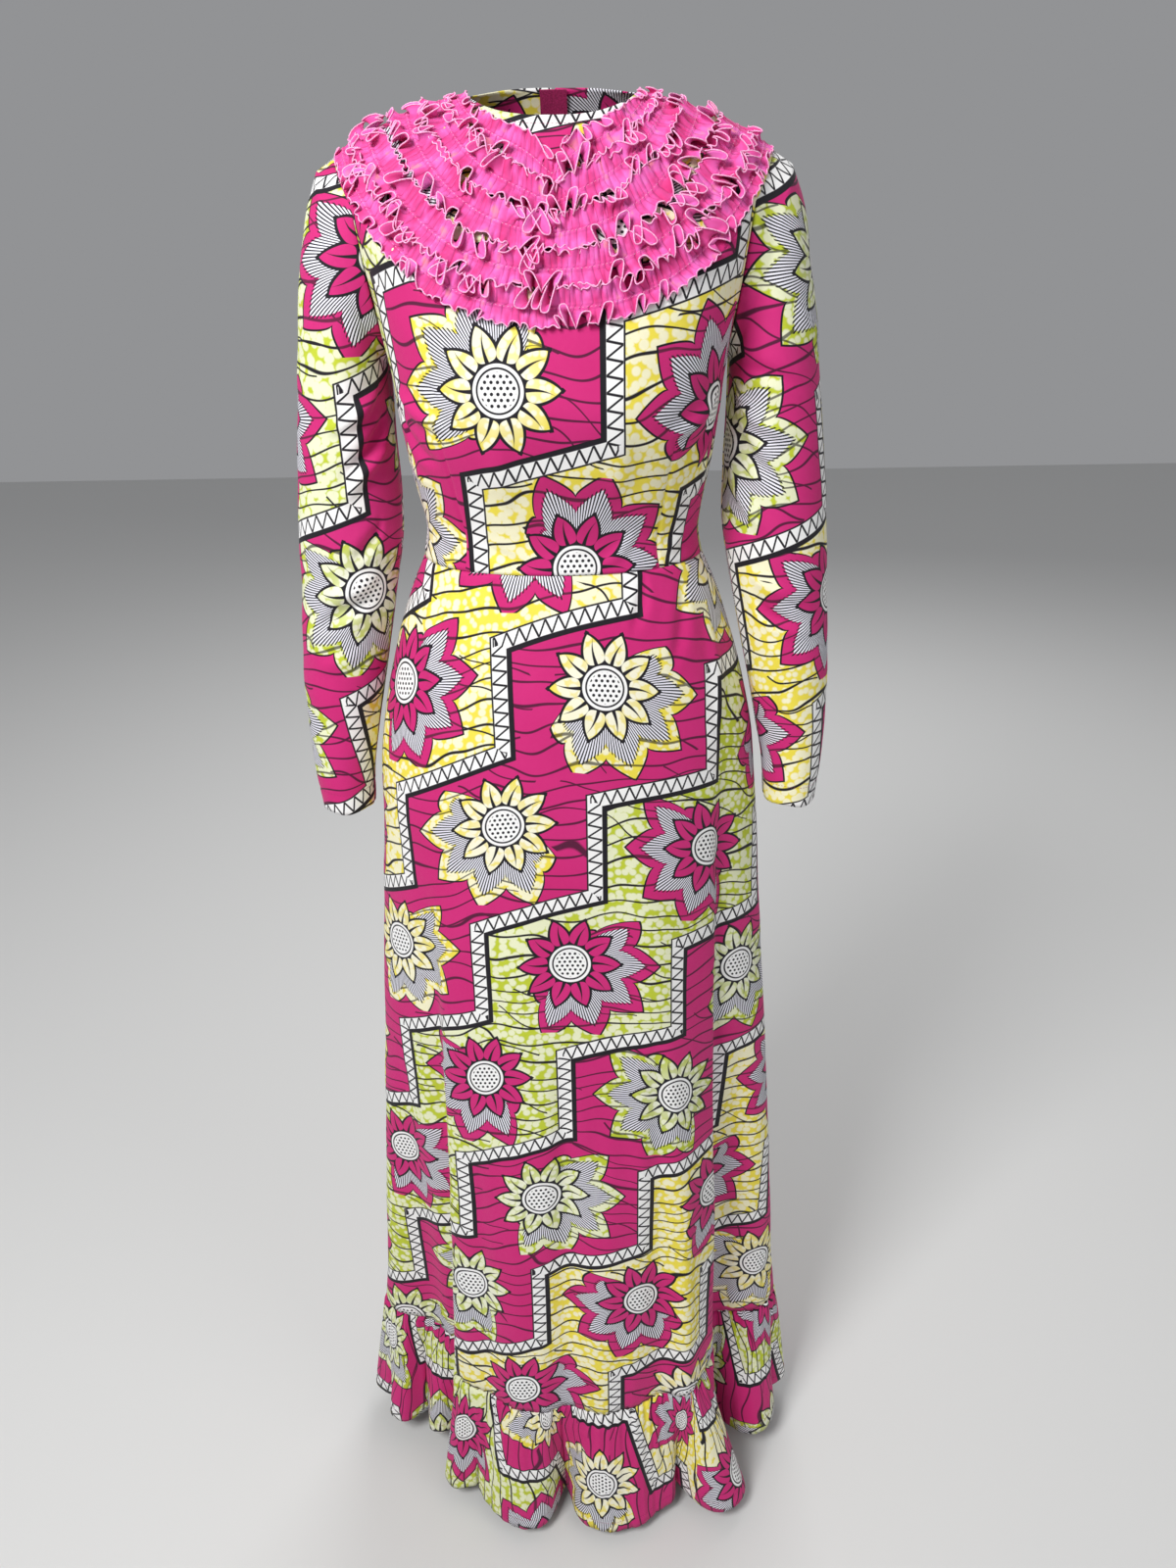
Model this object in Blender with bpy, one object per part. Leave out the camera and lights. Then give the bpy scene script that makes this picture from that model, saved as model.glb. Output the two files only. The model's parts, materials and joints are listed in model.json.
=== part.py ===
"""A long-sleeved maxi dress, hollow as it is worn, with a ruffled bib, a gathered hem flounce and a back zip.

Metres, +Z up. The front faces -Y and the wearer's left side is +X. The origin is between the two neck
points, at the level where the shoulders carry the dress. Every cloth piece is a wall: an outer face, an
inner face one cloth thickness behind it, and a rim that joins the two.
"""

import math

import bmesh
import bpy
import numpy as np

# Cloth and seams
CLOTH = 0.0016
RUFFLE_CLOTH = 0.0010
HALF_SEAM = 0.00015
ZIP_HALF_GAP = 0.0016
SAME = 1e-6

# Heights below the neck points
WAIST_Z = -0.357
ARMPIT_Z = -0.188
FLOUNCE_TOP_Z = -1.315
HEM_Z = -1.482
HEM_SIDE_RISE = 0.014
ZIP_END_Z = -0.520

# Where the bodice meets the sleeve
ARMHOLE_ANGLE = math.radians(60.0)
ARMPIT_X = 0.140

# Yoke, from the neckline (0) to the ring through the shoulder tips (1)
# columns: ring, y, z
YOKE_FRONT = (
    (0.0, -0.058, -0.018),
    (0.2, -0.073, -0.044),
    (0.4, -0.089, -0.072),
    (0.6, -0.103, -0.101),
    (0.8, -0.114, -0.130),
    (1.0, -0.121, -0.161),
)
# columns: ring, x, z
YOKE_SHOULDER = (
    (0.0, 0.066, 0.000),
    (0.25, 0.092, -0.006),
    (0.5, 0.119, -0.014),
    (0.75, 0.147, -0.025),
    (1.0, 0.172, -0.040),
)
# columns: ring, y, z
YOKE_BACK = (
    (0.0, 0.050, 0.008),
    (0.2, 0.064, -0.014),
    (0.4, 0.077, -0.043),
    (0.6, 0.087, -0.075),
    (0.8, 0.094, -0.110),
    (1.0, 0.098, -0.148),
)
YOKE_WIDTH_POWER = 0.80
YOKE_DEPTH_POWER = 1.00
YOKE_DROP_POWER = 1.70

# Body and skirt, columns: z, half width, depth in front, depth behind
BODY_SECTIONS = (
    (-0.040, 0.158, 0.088, 0.078),
    (-0.120, 0.150, 0.112, 0.094),
    (-0.188, 0.140, 0.124, 0.098),
    (-0.225, 0.137, 0.126, 0.095),
    (-0.265, 0.132, 0.115, 0.087),
    (-0.300, 0.127, 0.100, 0.079),
    (-0.335, 0.122, 0.089, 0.073),
    (-0.357, 0.126, 0.090, 0.076),
    (-0.390, 0.140, 0.098, 0.090),
    (-0.440, 0.157, 0.107, 0.108),
    (-0.520, 0.177, 0.116, 0.123),
    (-0.620, 0.187, 0.121, 0.126),
    (-0.760, 0.200, 0.130, 0.129),
    (-0.940, 0.215, 0.146, 0.138),
    (-1.120, 0.229, 0.163, 0.150),
    (-1.240, 0.238, 0.174, 0.159),
    (-1.315, 0.246, 0.180, 0.166),
)
BODY_POWER = 0.92

# Long hanging folds of the skirt
# columns: angle from centre front, half spread, height where it starts, depth at the flounce
SKIRT_FOLDS = (
    (-53.0, 16.0, -0.60, 0.190),
    (55.0, 15.0, -0.52, 0.235),
    (-18.0, 12.0, -0.95, 0.026),
    (14.0, 11.0, -1.00, 0.030),
    (110.0, 15.0, -0.60, 0.130),
    (-112.0, 16.0, -0.66, 0.120),
    (150.0, 14.0, -0.70, 0.075),
    (-152.0, 14.0, -0.74, 0.070),
)

# Bust darts, one on each side of the front
DART_ANGLE = math.radians(40.0)
DART_TOP_Z = -0.235
DART_DEPTH = 0.0025

# Sleeve rings below the armhole
# columns: outer x, outer z, inner x, inner z, centre y, half depth
SLEEVE_SECTIONS = (
    (0.1885, -0.050, 0.1450, -0.196, 0.004, 0.0580),
    (0.2020, -0.085, 0.1452, -0.210, 0.003, 0.0575),
    (0.2120, -0.135, 0.1446, -0.228, 0.002, 0.0560),
    (0.2195, -0.185, 0.1440, -0.250, 0.001, 0.0540),
    (0.2280, -0.250, 0.1430, -0.285, 0.000, 0.0510),
    (0.2360, -0.320, 0.1440, -0.335, -0.002, 0.0480),
    (0.2410, -0.390, 0.1545, -0.395, -0.005, 0.0455),
    (0.2460, -0.450, 0.1660, -0.450, -0.009, 0.0430),
    (0.2480, -0.510, 0.1790, -0.510, -0.013, 0.0380),
    (0.2465, -0.560, 0.1880, -0.560, -0.017, 0.0330),
    (0.2425, -0.602, 0.1925, -0.602, -0.021, 0.0300),
)

# Bib rows, from the neck outwards. Ring at centre front, ring at the shoulder, and the ruffle's waves
# columns: name, front ring, shoulder ring, waves
BIB_ROWS = (
    ("ruffle_1", 0.290, 0.060, 22),
    ("ruffle_2", 0.430, 0.200, 29),
    ("ruffle_3", 0.575, 0.460, 34),
    ("ruffle_4", 0.735, 0.735, 38),
    ("ruffle_5", 0.910, 0.925, 38),
)
BIB_NECK_RING = (0.225, 0.012)
BIB_LAST_RING = (0.995, 0.985)
BIB_END_ANGLE = math.radians(87.0)
BIB_FILL = 0.44
STITCH_LIFT = 0.0015
EDGE_LIFT = 0.0075
EDGE_WAVE = 0.0038

# Hem flounce
FLOUNCE_WAVES_EACH = 14
POINTS_A_WAVE = 5
FLOUNCE_FLARE = 0.020
FLOUNCE_TOP_WAVE = 0.0022
FLOUNCE_HEM_WAVE = 0.0130
FLOUNCE_ROWS = 3

# Grid counts
QUARTER_ANGLES = (0, 10, 20, 30, 40, 50, 60, 67.5, 75, 82.5, 90)
YOKE_STEPS = 5
BODICE_STEPS = 6
SKIRT_STEPS = 9
SKIRT_COLUMNS = 48

# Zip slider and its pull tab
SLIDER_RING = 0.085
SLIDER_SIZE = (0.0070, 0.0100, 0.0026)
SLIDER_LIFT = 0.0005
NECK_SIZE = (0.0022, 0.0070)
BAIL_WIDTH = 0.0016
BAIL_HALF_LENGTH = 0.0036
BAIL_THICK = 0.0010
BAIL_CLEAR = 0.0020
TAB_SIZE = (0.0050, 0.0240, 0.0010)
TAB_HOLE = (0.0026, 0.0050)
TAB_BAR = 0.0012
TAPE_HALF_WIDTH = 0.011
TAPE_THICK = 0.0010
TAPE_GAP = 0.0005

MAGENTA = (0.58, 0.02, 0.13, 1.0)
LIME = (0.66, 0.62, 0.06, 1.0)
PINK = (0.75, 0.08, 0.35, 1.0)
BRASS = (0.70, 0.52, 0.25, 1.0)


def clear_scene():
    for thing in list(bpy.data.objects):
        bpy.data.objects.remove(thing, do_unlink=True)


def new_collection(name):
    group = bpy.data.collections.new(name)
    bpy.context.scene.collection.children.link(group)
    return group


def new_material(name, color, roughness, metallic=0.0):
    material = bpy.data.materials.new(name)
    material.use_nodes = True
    shader = material.node_tree.nodes["Principled BSDF"]
    shader.inputs["Base Color"].default_value = color
    shader.inputs["Roughness"].default_value = roughness
    shader.inputs["Metallic"].default_value = metallic
    return material


def table_value(table, key):
    """The other columns of a table at this value of its first column, on a smooth curve through the rows."""
    rows = np.array(table, float)
    knots = rows[:, 0]
    values = rows[:, 1:]
    if knots[0] > knots[-1]:
        knots = knots[::-1]
        values = values[::-1]
    key = min(max(key, knots[0]), knots[-1])
    at = int(np.clip(np.searchsorted(knots, key) - 1, 0, len(knots) - 2))
    slopes = np.gradient(values, knots, axis=0)
    width = knots[at + 1] - knots[at]
    t = (key - knots[at]) / width
    start = values[at] * (2 * t**3 - 3 * t**2 + 1) + slopes[at] * width * (t**3 - 2 * t**2 + t)
    end = values[at + 1] * (3 * t**2 - 2 * t**3) + slopes[at + 1] * width * (t**3 - t**2)
    return start + end


def signed_power(value, power):
    return math.copysign(abs(value) ** power, value)


def yoke_point(ring, angle):
    """A point of the shoulders and chest: angle 0 at centre front, a quarter turn at the +X shoulder."""
    side_x, side_z = table_value(YOKE_SHOULDER, ring)
    centre = YOKE_FRONT if math.cos(angle) >= 0 else YOKE_BACK
    centre_y, centre_z = table_value(centre, ring)
    toward_centre = abs(math.cos(angle))
    x = side_x * signed_power(math.sin(angle), YOKE_WIDTH_POWER)
    y = centre_y * toward_centre**YOKE_DEPTH_POWER
    z = side_z + (centre_z - side_z) * toward_centre**YOKE_DROP_POWER
    return np.array((x, y, z))


def yoke_frame(ring, angle):
    """The yoke's point and its outward normal."""
    step = 0.004
    along_ring = yoke_point(ring, angle + step) - yoke_point(ring, angle - step)
    low = max(ring - step, 0.0)
    high = min(ring + step, 1.0)
    down = yoke_point(high, angle) - yoke_point(low, angle)
    normal = np.cross(down, along_ring)
    return yoke_point(ring, angle), normal / np.linalg.norm(normal)


def panel_point(ring, angle):
    """The front panel's own flat-faced surface at this place of the yoke, between its grid's points."""
    row = min(int(ring * YOKE_STEPS), YOKE_STEPS - 1)
    down = ring * YOKE_STEPS - row
    degrees = math.degrees(abs(angle))
    column = int(np.clip(np.searchsorted(QUARTER_ANGLES, degrees) - 1, 0, len(QUARTER_ANGLES) - 2))
    start, end = QUARTER_ANGLES[column : column + 2]
    across = (degrees - start) / (end - start)
    point = np.zeros(3)
    for step, row_share in ((0, 1 - down), (1, down)):
        for turn, column_share in ((start, 1 - across), (end, across)):
            corner = yoke_point((row + step) / YOKE_STEPS, math.radians(turn))
            point += corner * row_share * column_share
    point[0] = math.copysign(point[0], angle)
    return point


def body_point(angle, z):
    half_width, front, back = table_value(BODY_SECTIONS, z)
    depth = front if math.cos(angle) >= 0 else back
    x = half_width * signed_power(math.sin(angle), BODY_POWER)
    y = -depth * signed_power(math.cos(angle), BODY_POWER)
    return np.array((x, y, z))


def skirt_point(angle, z):
    """The body section, drawn in along each hanging fold."""
    point = body_point(angle, z)
    pull = 0.0
    for fold_angle, spread, start_z, depth in SKIRT_FOLDS:
        away = (math.degrees(angle) - fold_angle + 180) % 360 - 180
        if abs(away) < 2 * spread and z < start_z:
            share = (start_z - z) / (start_z - FLOUNCE_TOP_Z)
            pull += depth * share**0.8 * math.cos(math.pi * away / (4 * spread)) ** 2
    point[0] *= 1 - pull
    point[1] *= 1 - pull
    return point


def circle_angles():
    """The bodice's columns, once round from centre front."""
    quarter = [math.radians(a) for a in QUARTER_ANGLES]
    half = quarter + [math.pi - a for a in reversed(quarter[:-1])]
    return half + [-a for a in reversed(half[1:-1])]


def bodice_grids():
    """Points of the yoke and of the bodice below it, both once round, sharing the ring between them."""
    angles = circle_angles()
    rings = [k / YOKE_STEPS for k in range(YOKE_STEPS + 1)]
    yoke = np.array([[yoke_point(ring, a) for a in angles] for ring in rings])
    body = np.zeros((BODICE_STEPS + 1, len(angles), 3))
    for column, angle in enumerate(angles):
        top = yoke_point(1.0, angle)
        from_side = abs(abs(angle) - math.pi / 2)
        reach = math.pi / 2 - ARMHOLE_ANGLE
        if from_side < reach - SAME:
            edge_angle = math.copysign(ARMHOLE_ANGLE, angle)
            if abs(angle) > math.pi / 2:
                edge_angle = math.copysign(math.pi - ARMHOLE_ANGLE, angle)
            edge = yoke_point(1.0, edge_angle)
            turn = (1 - from_side / reach) * math.pi / 2
            x = abs(edge[0]) + (ARMPIT_X - abs(edge[0])) * math.sin(turn)
            top = np.array(
                (
                    math.copysign(x, edge[0]),
                    edge[1] * math.cos(turn),
                    edge[2] + (ARMPIT_Z - edge[2]) * math.sin(turn),
                )
            )
        shift = top - body_point(angle, top[2])
        for row in range(BODICE_STEPS + 1):
            share = row / BODICE_STEPS
            z = top[2] + (WAIST_Z - top[2]) * share
            point = body_point(angle, z) + shift * (1 - share) ** 2
            if abs(abs(angle) - DART_ANGLE) < SAME and z < DART_TOP_Z:
                point[1] += DART_DEPTH
            body[row, column] = point
    return angles, yoke, body


def grid_normals(points, closed=True):
    """Outward normals of a grid whose rows run down and whose columns run round towards +X from the front."""
    if closed:
        across = np.roll(points, -1, axis=1) - np.roll(points, 1, axis=1)
    else:
        across = np.gradient(points, axis=1)
    down = np.gradient(points, axis=0)
    normals = np.cross(down, across)
    return normals / np.linalg.norm(normals, axis=2, keepdims=True)


def level(normals):
    flat = normals.copy()
    flat[..., 2] = 0.0
    return flat / np.linalg.norm(flat, axis=-1, keepdims=True)


def pulled_back(points, normals, sides, distance):
    """The grid with its named edges moved back into the piece, which leaves the gap of a seam."""
    moved = points.copy()
    if "top" in sides:
        moved[0, :, 2] -= distance
    if "bottom" in sides:
        moved[-1, :, 2] += distance
    for name, edge, inner in (("first", 0, 1), ("last", -1, -2)):
        if name in sides:
            inward = points[:, inner] - points[:, edge]
            inward -= normals[:, edge] * np.sum(inward * normals[:, edge], axis=1, keepdims=True)
            inward /= np.linalg.norm(inward, axis=1, keepdims=True)
            moved[:, edge] += inward * sides[name]
    return moved


def halves(corners):
    """The two triangles of a four-sided cell, cut along its shorter diagonal."""
    one, two, three, four = (corner.co for corner in corners)
    if (one - three).length > (two - four).length:
        return (0, 1, 3), (1, 2, 3)
    return (0, 1, 2), (0, 2, 3)


def wall_from_blocks(name, blocks, collection, material, ring=False):
    """One closed wall from grids of (outer, inner) points. Blocks that share points are welded together.

    Both faces of a cell are cut along the same diagonal, so that a steep wall never passes through itself.
    """
    bm = bmesh.new()
    keep = {}

    def vertex(point):
        key = tuple(np.round(point, 7))
        if key not in keep:
            keep[key] = bm.verts.new(point)
        return keep[key]

    rim = {}
    for outer, inner in blocks:
        rows, columns = outer.shape[:2]
        spans = columns if ring else columns - 1
        for i in range(rows - 1):
            for j in range(spans):
                k = (j + 1) % columns
                corners = ((i, j), (i + 1, j), (i + 1, k), (i, k))
                out = [vertex(outer[c]) for c in corners]
                back = [vertex(inner[c]) for c in corners]
                for first, second, third in halves(out):
                    bm.faces.new((out[first], out[second], out[third]))
                    bm.faces.new((back[third], back[second], back[first]))
                for a in range(4):
                    b = (a + 1) % 4
                    edge = (out[a], out[b])
                    if (edge[1], edge[0]) in rim:
                        del rim[(edge[1], edge[0])]
                    else:
                        rim[edge] = (back[a], back[b])
    for (out_a, out_b), (back_a, back_b) in rim.items():
        bm.faces.new((out_b, out_a, back_a, back_b))
    bm.normal_update()
    mesh = bpy.data.meshes.new(name)
    bm.to_mesh(mesh)
    bm.free()
    mesh.materials.append(material)
    mesh.shade_smooth()
    mesh.set_sharp_from_angle(angle=math.radians(50))
    piece = bpy.data.objects.new(name, mesh)
    collection.objects.link(piece)
    return piece


def wall(points, normals, thickness):
    return points, points - normals * thickness


def make_bodice(collection, material):
    angles, yoke, body = bodice_grids()
    yoke_normals = grid_normals(yoke)
    body_normals = grid_normals(body)
    body_normals[-1] = level(body_normals[-1])
    count = len(angles)
    shared = [c for c, a in enumerate(angles) if abs(abs(a) - math.pi / 2) > math.pi / 2 - ARMHOLE_ANGLE - SAME]
    for column in shared:
        both = yoke_normals[-1, column] + body_normals[0, column]
        both /= np.linalg.norm(both)
        yoke_normals[-1, column] = both
        body_normals[0, column] = both
    quarter = len(QUARTER_ANGLES) - 1
    panels = (
        ("front_bodice", list(range(-quarter, quarter + 1)), HALF_SEAM, HALF_SEAM),
        ("back_bodice_left", list(range(quarter, 2 * quarter + 1)), HALF_SEAM, ZIP_HALF_GAP),
        ("back_bodice_right", list(range(2 * quarter, 3 * quarter + 1)), ZIP_HALF_GAP, HALF_SEAM),
    )
    for name, columns, first_gap, last_gap in panels:
        columns = [c % count for c in columns]
        blocks = []
        for points, normals, ends in ((yoke, yoke_normals, ""), (body, body_normals, "bottom")):
            part_points = points[:, columns]
            part_normals = normals[:, columns]
            sides = {"first": first_gap, "last": last_gap}
            if ends:
                sides[ends] = True
            part_points = pulled_back(part_points, part_normals, sides, HALF_SEAM)
            blocks.append(wall(part_points, part_normals, CLOTH))
        wall_from_blocks(name, blocks, collection, material)
    return angles, yoke, body, yoke_normals, body_normals


def skirt_grid(columns):
    heights = [WAIST_Z + (FLOUNCE_TOP_Z - WAIST_Z) * (k / SKIRT_STEPS) ** 1.15 for k in range(SKIRT_STEPS + 1)]
    turns = [2 * math.pi * c / columns for c in range(columns)]
    return np.array([[skirt_point(turn, z) for turn in turns] for z in heights])


def make_skirt(collection, material):
    points = skirt_grid(SKIRT_COLUMNS)
    normals = grid_normals(points)
    normals[0] = level(normals[0])
    normals[-1] = level(normals[-1])
    quarter = SKIRT_COLUMNS // 4
    panels = (
        ("front_skirt", range(-quarter, quarter + 1), "none"),
        ("back_skirt_left", range(quarter, 2 * quarter + 1), "last"),
        ("back_skirt_right", range(2 * quarter, 3 * quarter + 1), "first"),
    )
    for name, columns, zip_side in panels:
        columns = [c % SKIRT_COLUMNS for c in columns]
        part_points = points[:, columns]
        part_normals = normals[:, columns]
        open_rows = part_points[:, 0, 2] > ZIP_END_Z
        zip_gap = np.where(open_rows, ZIP_HALF_GAP, HALF_SEAM)[:, None]
        sides = {
            "first": zip_gap if zip_side == "first" else HALF_SEAM,
            "last": zip_gap if zip_side == "last" else HALF_SEAM,
            "top": True,
            "bottom": True,
        }
        part_points = pulled_back(part_points, part_normals, sides, HALF_SEAM)
        wall_from_blocks(name, [wall(part_points, part_normals, CLOTH)], collection, material)
    return points, normals


def even_steps(points, count):
    """The places on a line of points that cut it into this many stretches of equal length."""
    lengths = np.linalg.norm(np.diff(points, axis=0), axis=1)
    along = np.concatenate(([0.0], np.cumsum(lengths)))
    wanted = np.linspace(0.0, along[-1], count + 1)
    return np.interp(wanted, along, np.arange(len(points)))


def flounce_grid():
    """The gathered flounce once round, from the -X side seam along the front and back along the rear."""
    fine = 240
    columns = []
    steps = FLOUNCE_WAVES_EACH * POINTS_A_WAVE
    for start in (-math.pi / 2, math.pi / 2):
        turns = start + math.pi * np.arange(fine + 1) / fine
        outline = np.array([skirt_point(turn, FLOUNCE_TOP_Z) for turn in turns])
        for step, place in enumerate(even_steps(outline, steps)[:-1]):
            columns.append((np.interp(place, np.arange(fine + 1), turns), step))
    base = np.array([skirt_point(turn, FLOUNCE_TOP_Z) for turn, _ in columns])
    across = np.roll(base, -1, axis=0) - np.roll(base, 1, axis=0)
    out = np.stack((across[:, 1], -across[:, 0], 0 * across[:, 0]), axis=1)
    out /= np.linalg.norm(out, axis=1, keepdims=True)
    grid = []
    for row in range(FLOUNCE_ROWS + 1):
        share = row / FLOUNCE_ROWS
        size = FLOUNCE_TOP_WAVE + (FLOUNCE_HEM_WAVE - FLOUNCE_TOP_WAVE) * share
        line = []
        for (turn, step), place, outward in zip(columns, base, out):
            uneven = 0.8 + 0.2 * math.sin(3 * turn + 1.0)
            wave = size * uneven * math.sin(2 * math.pi * step / POINTS_A_WAVE)
            point = place + outward * (FLOUNCE_FLARE * share**0.8 + wave)
            hem = HEM_Z + HEM_SIDE_RISE * math.sin(turn) ** 2
            point[2] = FLOUNCE_TOP_Z + (hem - FLOUNCE_TOP_Z) * share
            line.append(point)
        grid.append(line)
    return np.array(grid)


def make_flounce(collection, material):
    points = flounce_grid()
    normals = grid_normals(points)
    normals[0] = level(normals[0])
    count = points.shape[1]
    for name, start in (("flounce_front", 0), ("flounce_back", count // 2)):
        columns = [c % count for c in range(start, start + count // 2 + 1)]
        part_normals = normals[:, columns]
        sides = {"first": HALF_SEAM, "last": HALF_SEAM, "top": True}
        part_points = pulled_back(points[:, columns], part_normals, sides, HALF_SEAM)
        wall_from_blocks(name, [wall(part_points, part_normals, CLOTH)], collection, material)


def armhole_ring(angles, yoke, body, side):
    """The armhole's edge, from the shoulder tip down the front to the armpit and up the back."""
    reach = math.pi / 2 - ARMHOLE_ANGLE
    inside = [c for c, a in enumerate(angles) if a * side > 0 and abs(abs(a) - math.pi / 2) < reach + SAME]
    inside.sort(key=lambda c: abs(angles[c]))
    middle = len(inside) // 2
    ring = [yoke[-1, c] for c in reversed(inside[: middle + 1])]
    ring += [body[0, c] for c in inside[1:]]
    ring += [yoke[-1, c] for c in reversed(inside[middle + 1 : -1])]
    return np.array(ring)


def sleeve_ring(row, count, side):
    outer_x, outer_z, inner_x, inner_z, centre_y, half_depth = row
    ring = []
    for step in range(count):
        turn = 2 * math.pi * step / count
        lean = (1 + math.cos(turn)) / 2
        x = inner_x + (outer_x - inner_x) * lean
        z = inner_z + (outer_z - inner_z) * lean
        ring.append((side * x, centre_y - half_depth * math.sin(turn), z))
    return ring


def make_sleeve(name, side, bodice, collection, material):
    angles, yoke, body = bodice[:3]
    edge = armhole_ring(angles, yoke, body, side)
    edge[:, 0] += side * 2 * HALF_SEAM
    count = len(edge)
    points = np.array([edge] + [sleeve_ring(row, count, side) for row in SLEEVE_SECTIONS])
    if side < 0:
        points = points[:, [-c % count for c in range(count)]]
    normals = -grid_normals(points)
    first = normals[0]
    first[:, 0] = side * np.minimum(side * first[:, 0], 0.0)
    normals[0] = first / np.linalg.norm(first, axis=1, keepdims=True)
    normals[-1] = level(normals[-1])
    outer, inner = wall(points, normals, CLOTH)
    blocks = [(outer[:, ::-1], inner[:, ::-1])]
    wall_from_blocks(name, blocks, collection, material, ring=True)


def row_ring(pair, angle):
    """A bib line's ring at this angle, between its value at centre front and its value at the shoulder."""
    share = math.sin(abs(angle)) ** 1.5
    return pair[0] + (pair[1] - pair[0]) * share


def make_ruffle(index, collection, material):
    """One double-edged ruffle: its middle line is stitched down and both its edges stand up in waves."""
    name, front_ring, shoulder_ring, waves = BIB_ROWS[index]
    middle = (front_ring, shoulder_ring)
    inner_line = BIB_NECK_RING
    outer_line = BIB_LAST_RING
    if index > 0:
        inner_line = BIB_ROWS[index - 1][1:3]
    if index < len(BIB_ROWS) - 1:
        outer_line = BIB_ROWS[index + 1][1:3]
    inner_fill = BIB_FILL if index > 0 else 1.0
    outer_fill = BIB_FILL if index < len(BIB_ROWS) - 1 else 1.0
    fine = np.linspace(-BIB_END_ANGLE, BIB_END_ANGLE, 201)
    line = np.array([yoke_point(row_ring(middle, a), a) for a in fine])
    places = even_steps(line, 4 * waves)
    turns = np.interp(places, np.arange(len(fine)), fine)
    grid = np.zeros((3, len(turns), 3))
    outward = np.zeros((3, len(turns), 3))
    for column, angle in enumerate(turns):
        centre = row_ring(middle, angle)
        up = centre + (row_ring(inner_line, angle) - centre) * inner_fill
        down = centre + (row_ring(outer_line, angle) - centre) * outer_fill
        beat = math.sin(math.pi * column / 2)
        uneven = 0.82 + 0.18 * math.sin(7 * angle + index)
        for rail, ring in enumerate((up, centre, down)):
            point, normal = yoke_frame(ring, angle)
            if rail == 1:
                grid[rail, column] = panel_point(ring, angle) + normal * STITCH_LIFT
            else:
                grid[rail, column] = point + normal * (EDGE_LIFT + EDGE_WAVE * uneven * beat)
            outward[rail, column] = normal
    wall_from_blocks(name, [wall(grid, outward, RUFFLE_CLOTH)], collection, material)


def slider_frame():
    """The place of the zip slider on the centre back, with the directions along it and out of it."""
    point, normal = yoke_frame(SLIDER_RING, math.pi)
    normal[0] = 0.0
    normal /= np.linalg.norm(normal)
    down = np.array((0.0, normal[2], -normal[1]))
    return point, down, normal


def block(bm, centre, size, frame):
    """A box in the slider's own directions: across the back, down along the zip, out of the back."""
    place, down, normal = frame
    across = np.array((1.0, 0.0, 0.0))
    made = bmesh.ops.create_cube(bm, size=1.0)["verts"]
    for vert in made:
        x, y, z = vert.co
        local = (x * size[0] + centre[0], y * size[1] + centre[1], z * size[2] + centre[2])
        vert.co = place + across * local[0] + down * local[1] + normal * local[2]


def solid_from(name, bm, collection, material):
    bmesh.ops.recalc_face_normals(bm, faces=bm.faces)
    mesh = bpy.data.meshes.new(name)
    bm.to_mesh(mesh)
    bm.free()
    mesh.materials.append(material)
    piece = bpy.data.objects.new(name, mesh)
    collection.objects.link(piece)
    return piece


def join_with(piece, tool, operation):
    modifier = piece.modifiers.new(operation.title(), "BOOLEAN")
    modifier.operation = operation
    modifier.object = tool
    modifier.solver = "EXACT"
    tool.hide_render = True
    tool.display_type = "WIRE"


def make_zip(collection, cutters, cloth, metal):
    """The tape behind the back opening, the closed slider at its top and the pull tab that hangs from it."""
    frame = slider_frame()
    bottom = SLIDER_LIFT
    top = bottom + SLIDER_SIZE[2]
    bm = bmesh.new()
    block(bm, (0, 0, bottom + SLIDER_SIZE[2] / 2), SLIDER_SIZE, frame)
    slider = solid_from("zip_slider", bm, collection, metal)
    overlap = 0.0004
    neck_depth = CLOTH + SLIDER_LIFT
    pieces = [((0, 0, bottom - neck_depth / 2 + overlap / 2), (*NECK_SIZE, neck_depth + overlap))]
    bar_z = top + BAIL_CLEAR + BAIL_THICK / 2
    bail_length = 2 * BAIL_HALF_LENGTH + BAIL_THICK
    pieces.append(((0, 0, bar_z), (BAIL_WIDTH, bail_length, BAIL_THICK)))
    leg_height = BAIL_CLEAR + BAIL_THICK / 2 + overlap
    leg_size = (BAIL_WIDTH - 0.0003, BAIL_THICK - 0.0003, leg_height)
    for end in (-1, 1):
        pieces.append(((0, end * BAIL_HALF_LENGTH, top - overlap + leg_height / 2), leg_size))
    for number, (centre, size) in enumerate(pieces):
        bm = bmesh.new()
        block(bm, centre, size, frame)
        tool = solid_from(f"slider_tool_{number}", bm, cutters, metal)
        join_with(slider, tool, "UNION")
    axis_y = BAIL_HALF_LENGTH - BAIL_THICK / 2 - 0.0003 - TAB_BAR / 2
    axis_z = top + BAIL_CLEAR / 2
    bm = bmesh.new()
    tab_centre = axis_y - TAB_BAR / 2 + TAB_SIZE[1] / 2
    block(bm, (0, tab_centre, axis_z), TAB_SIZE, frame)
    corners = [e for e in bm.edges if abs((e.verts[0].co - e.verts[1].co).length - TAB_SIZE[2]) < SAME]
    bmesh.ops.bevel(
        bm, geom=corners, offset=0.0012, segments=3, profile=0.5, affect="EDGES", material=-1, clamp_overlap=True
    )
    tab = solid_from("zip_pull_tab", bm, collection, metal)
    bm = bmesh.new()
    hole_centre = axis_y + TAB_BAR / 2 + TAB_HOLE[1] / 2
    block(bm, (0, hole_centre, axis_z), (*TAB_HOLE, 4 * TAB_SIZE[2]), frame)
    tool = solid_from("tab_tool", bm, cutters, metal)
    join_with(tab, tool, "DIFFERENCE")
    place, down, normal = frame
    return place + down * axis_y + normal * axis_z


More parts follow.
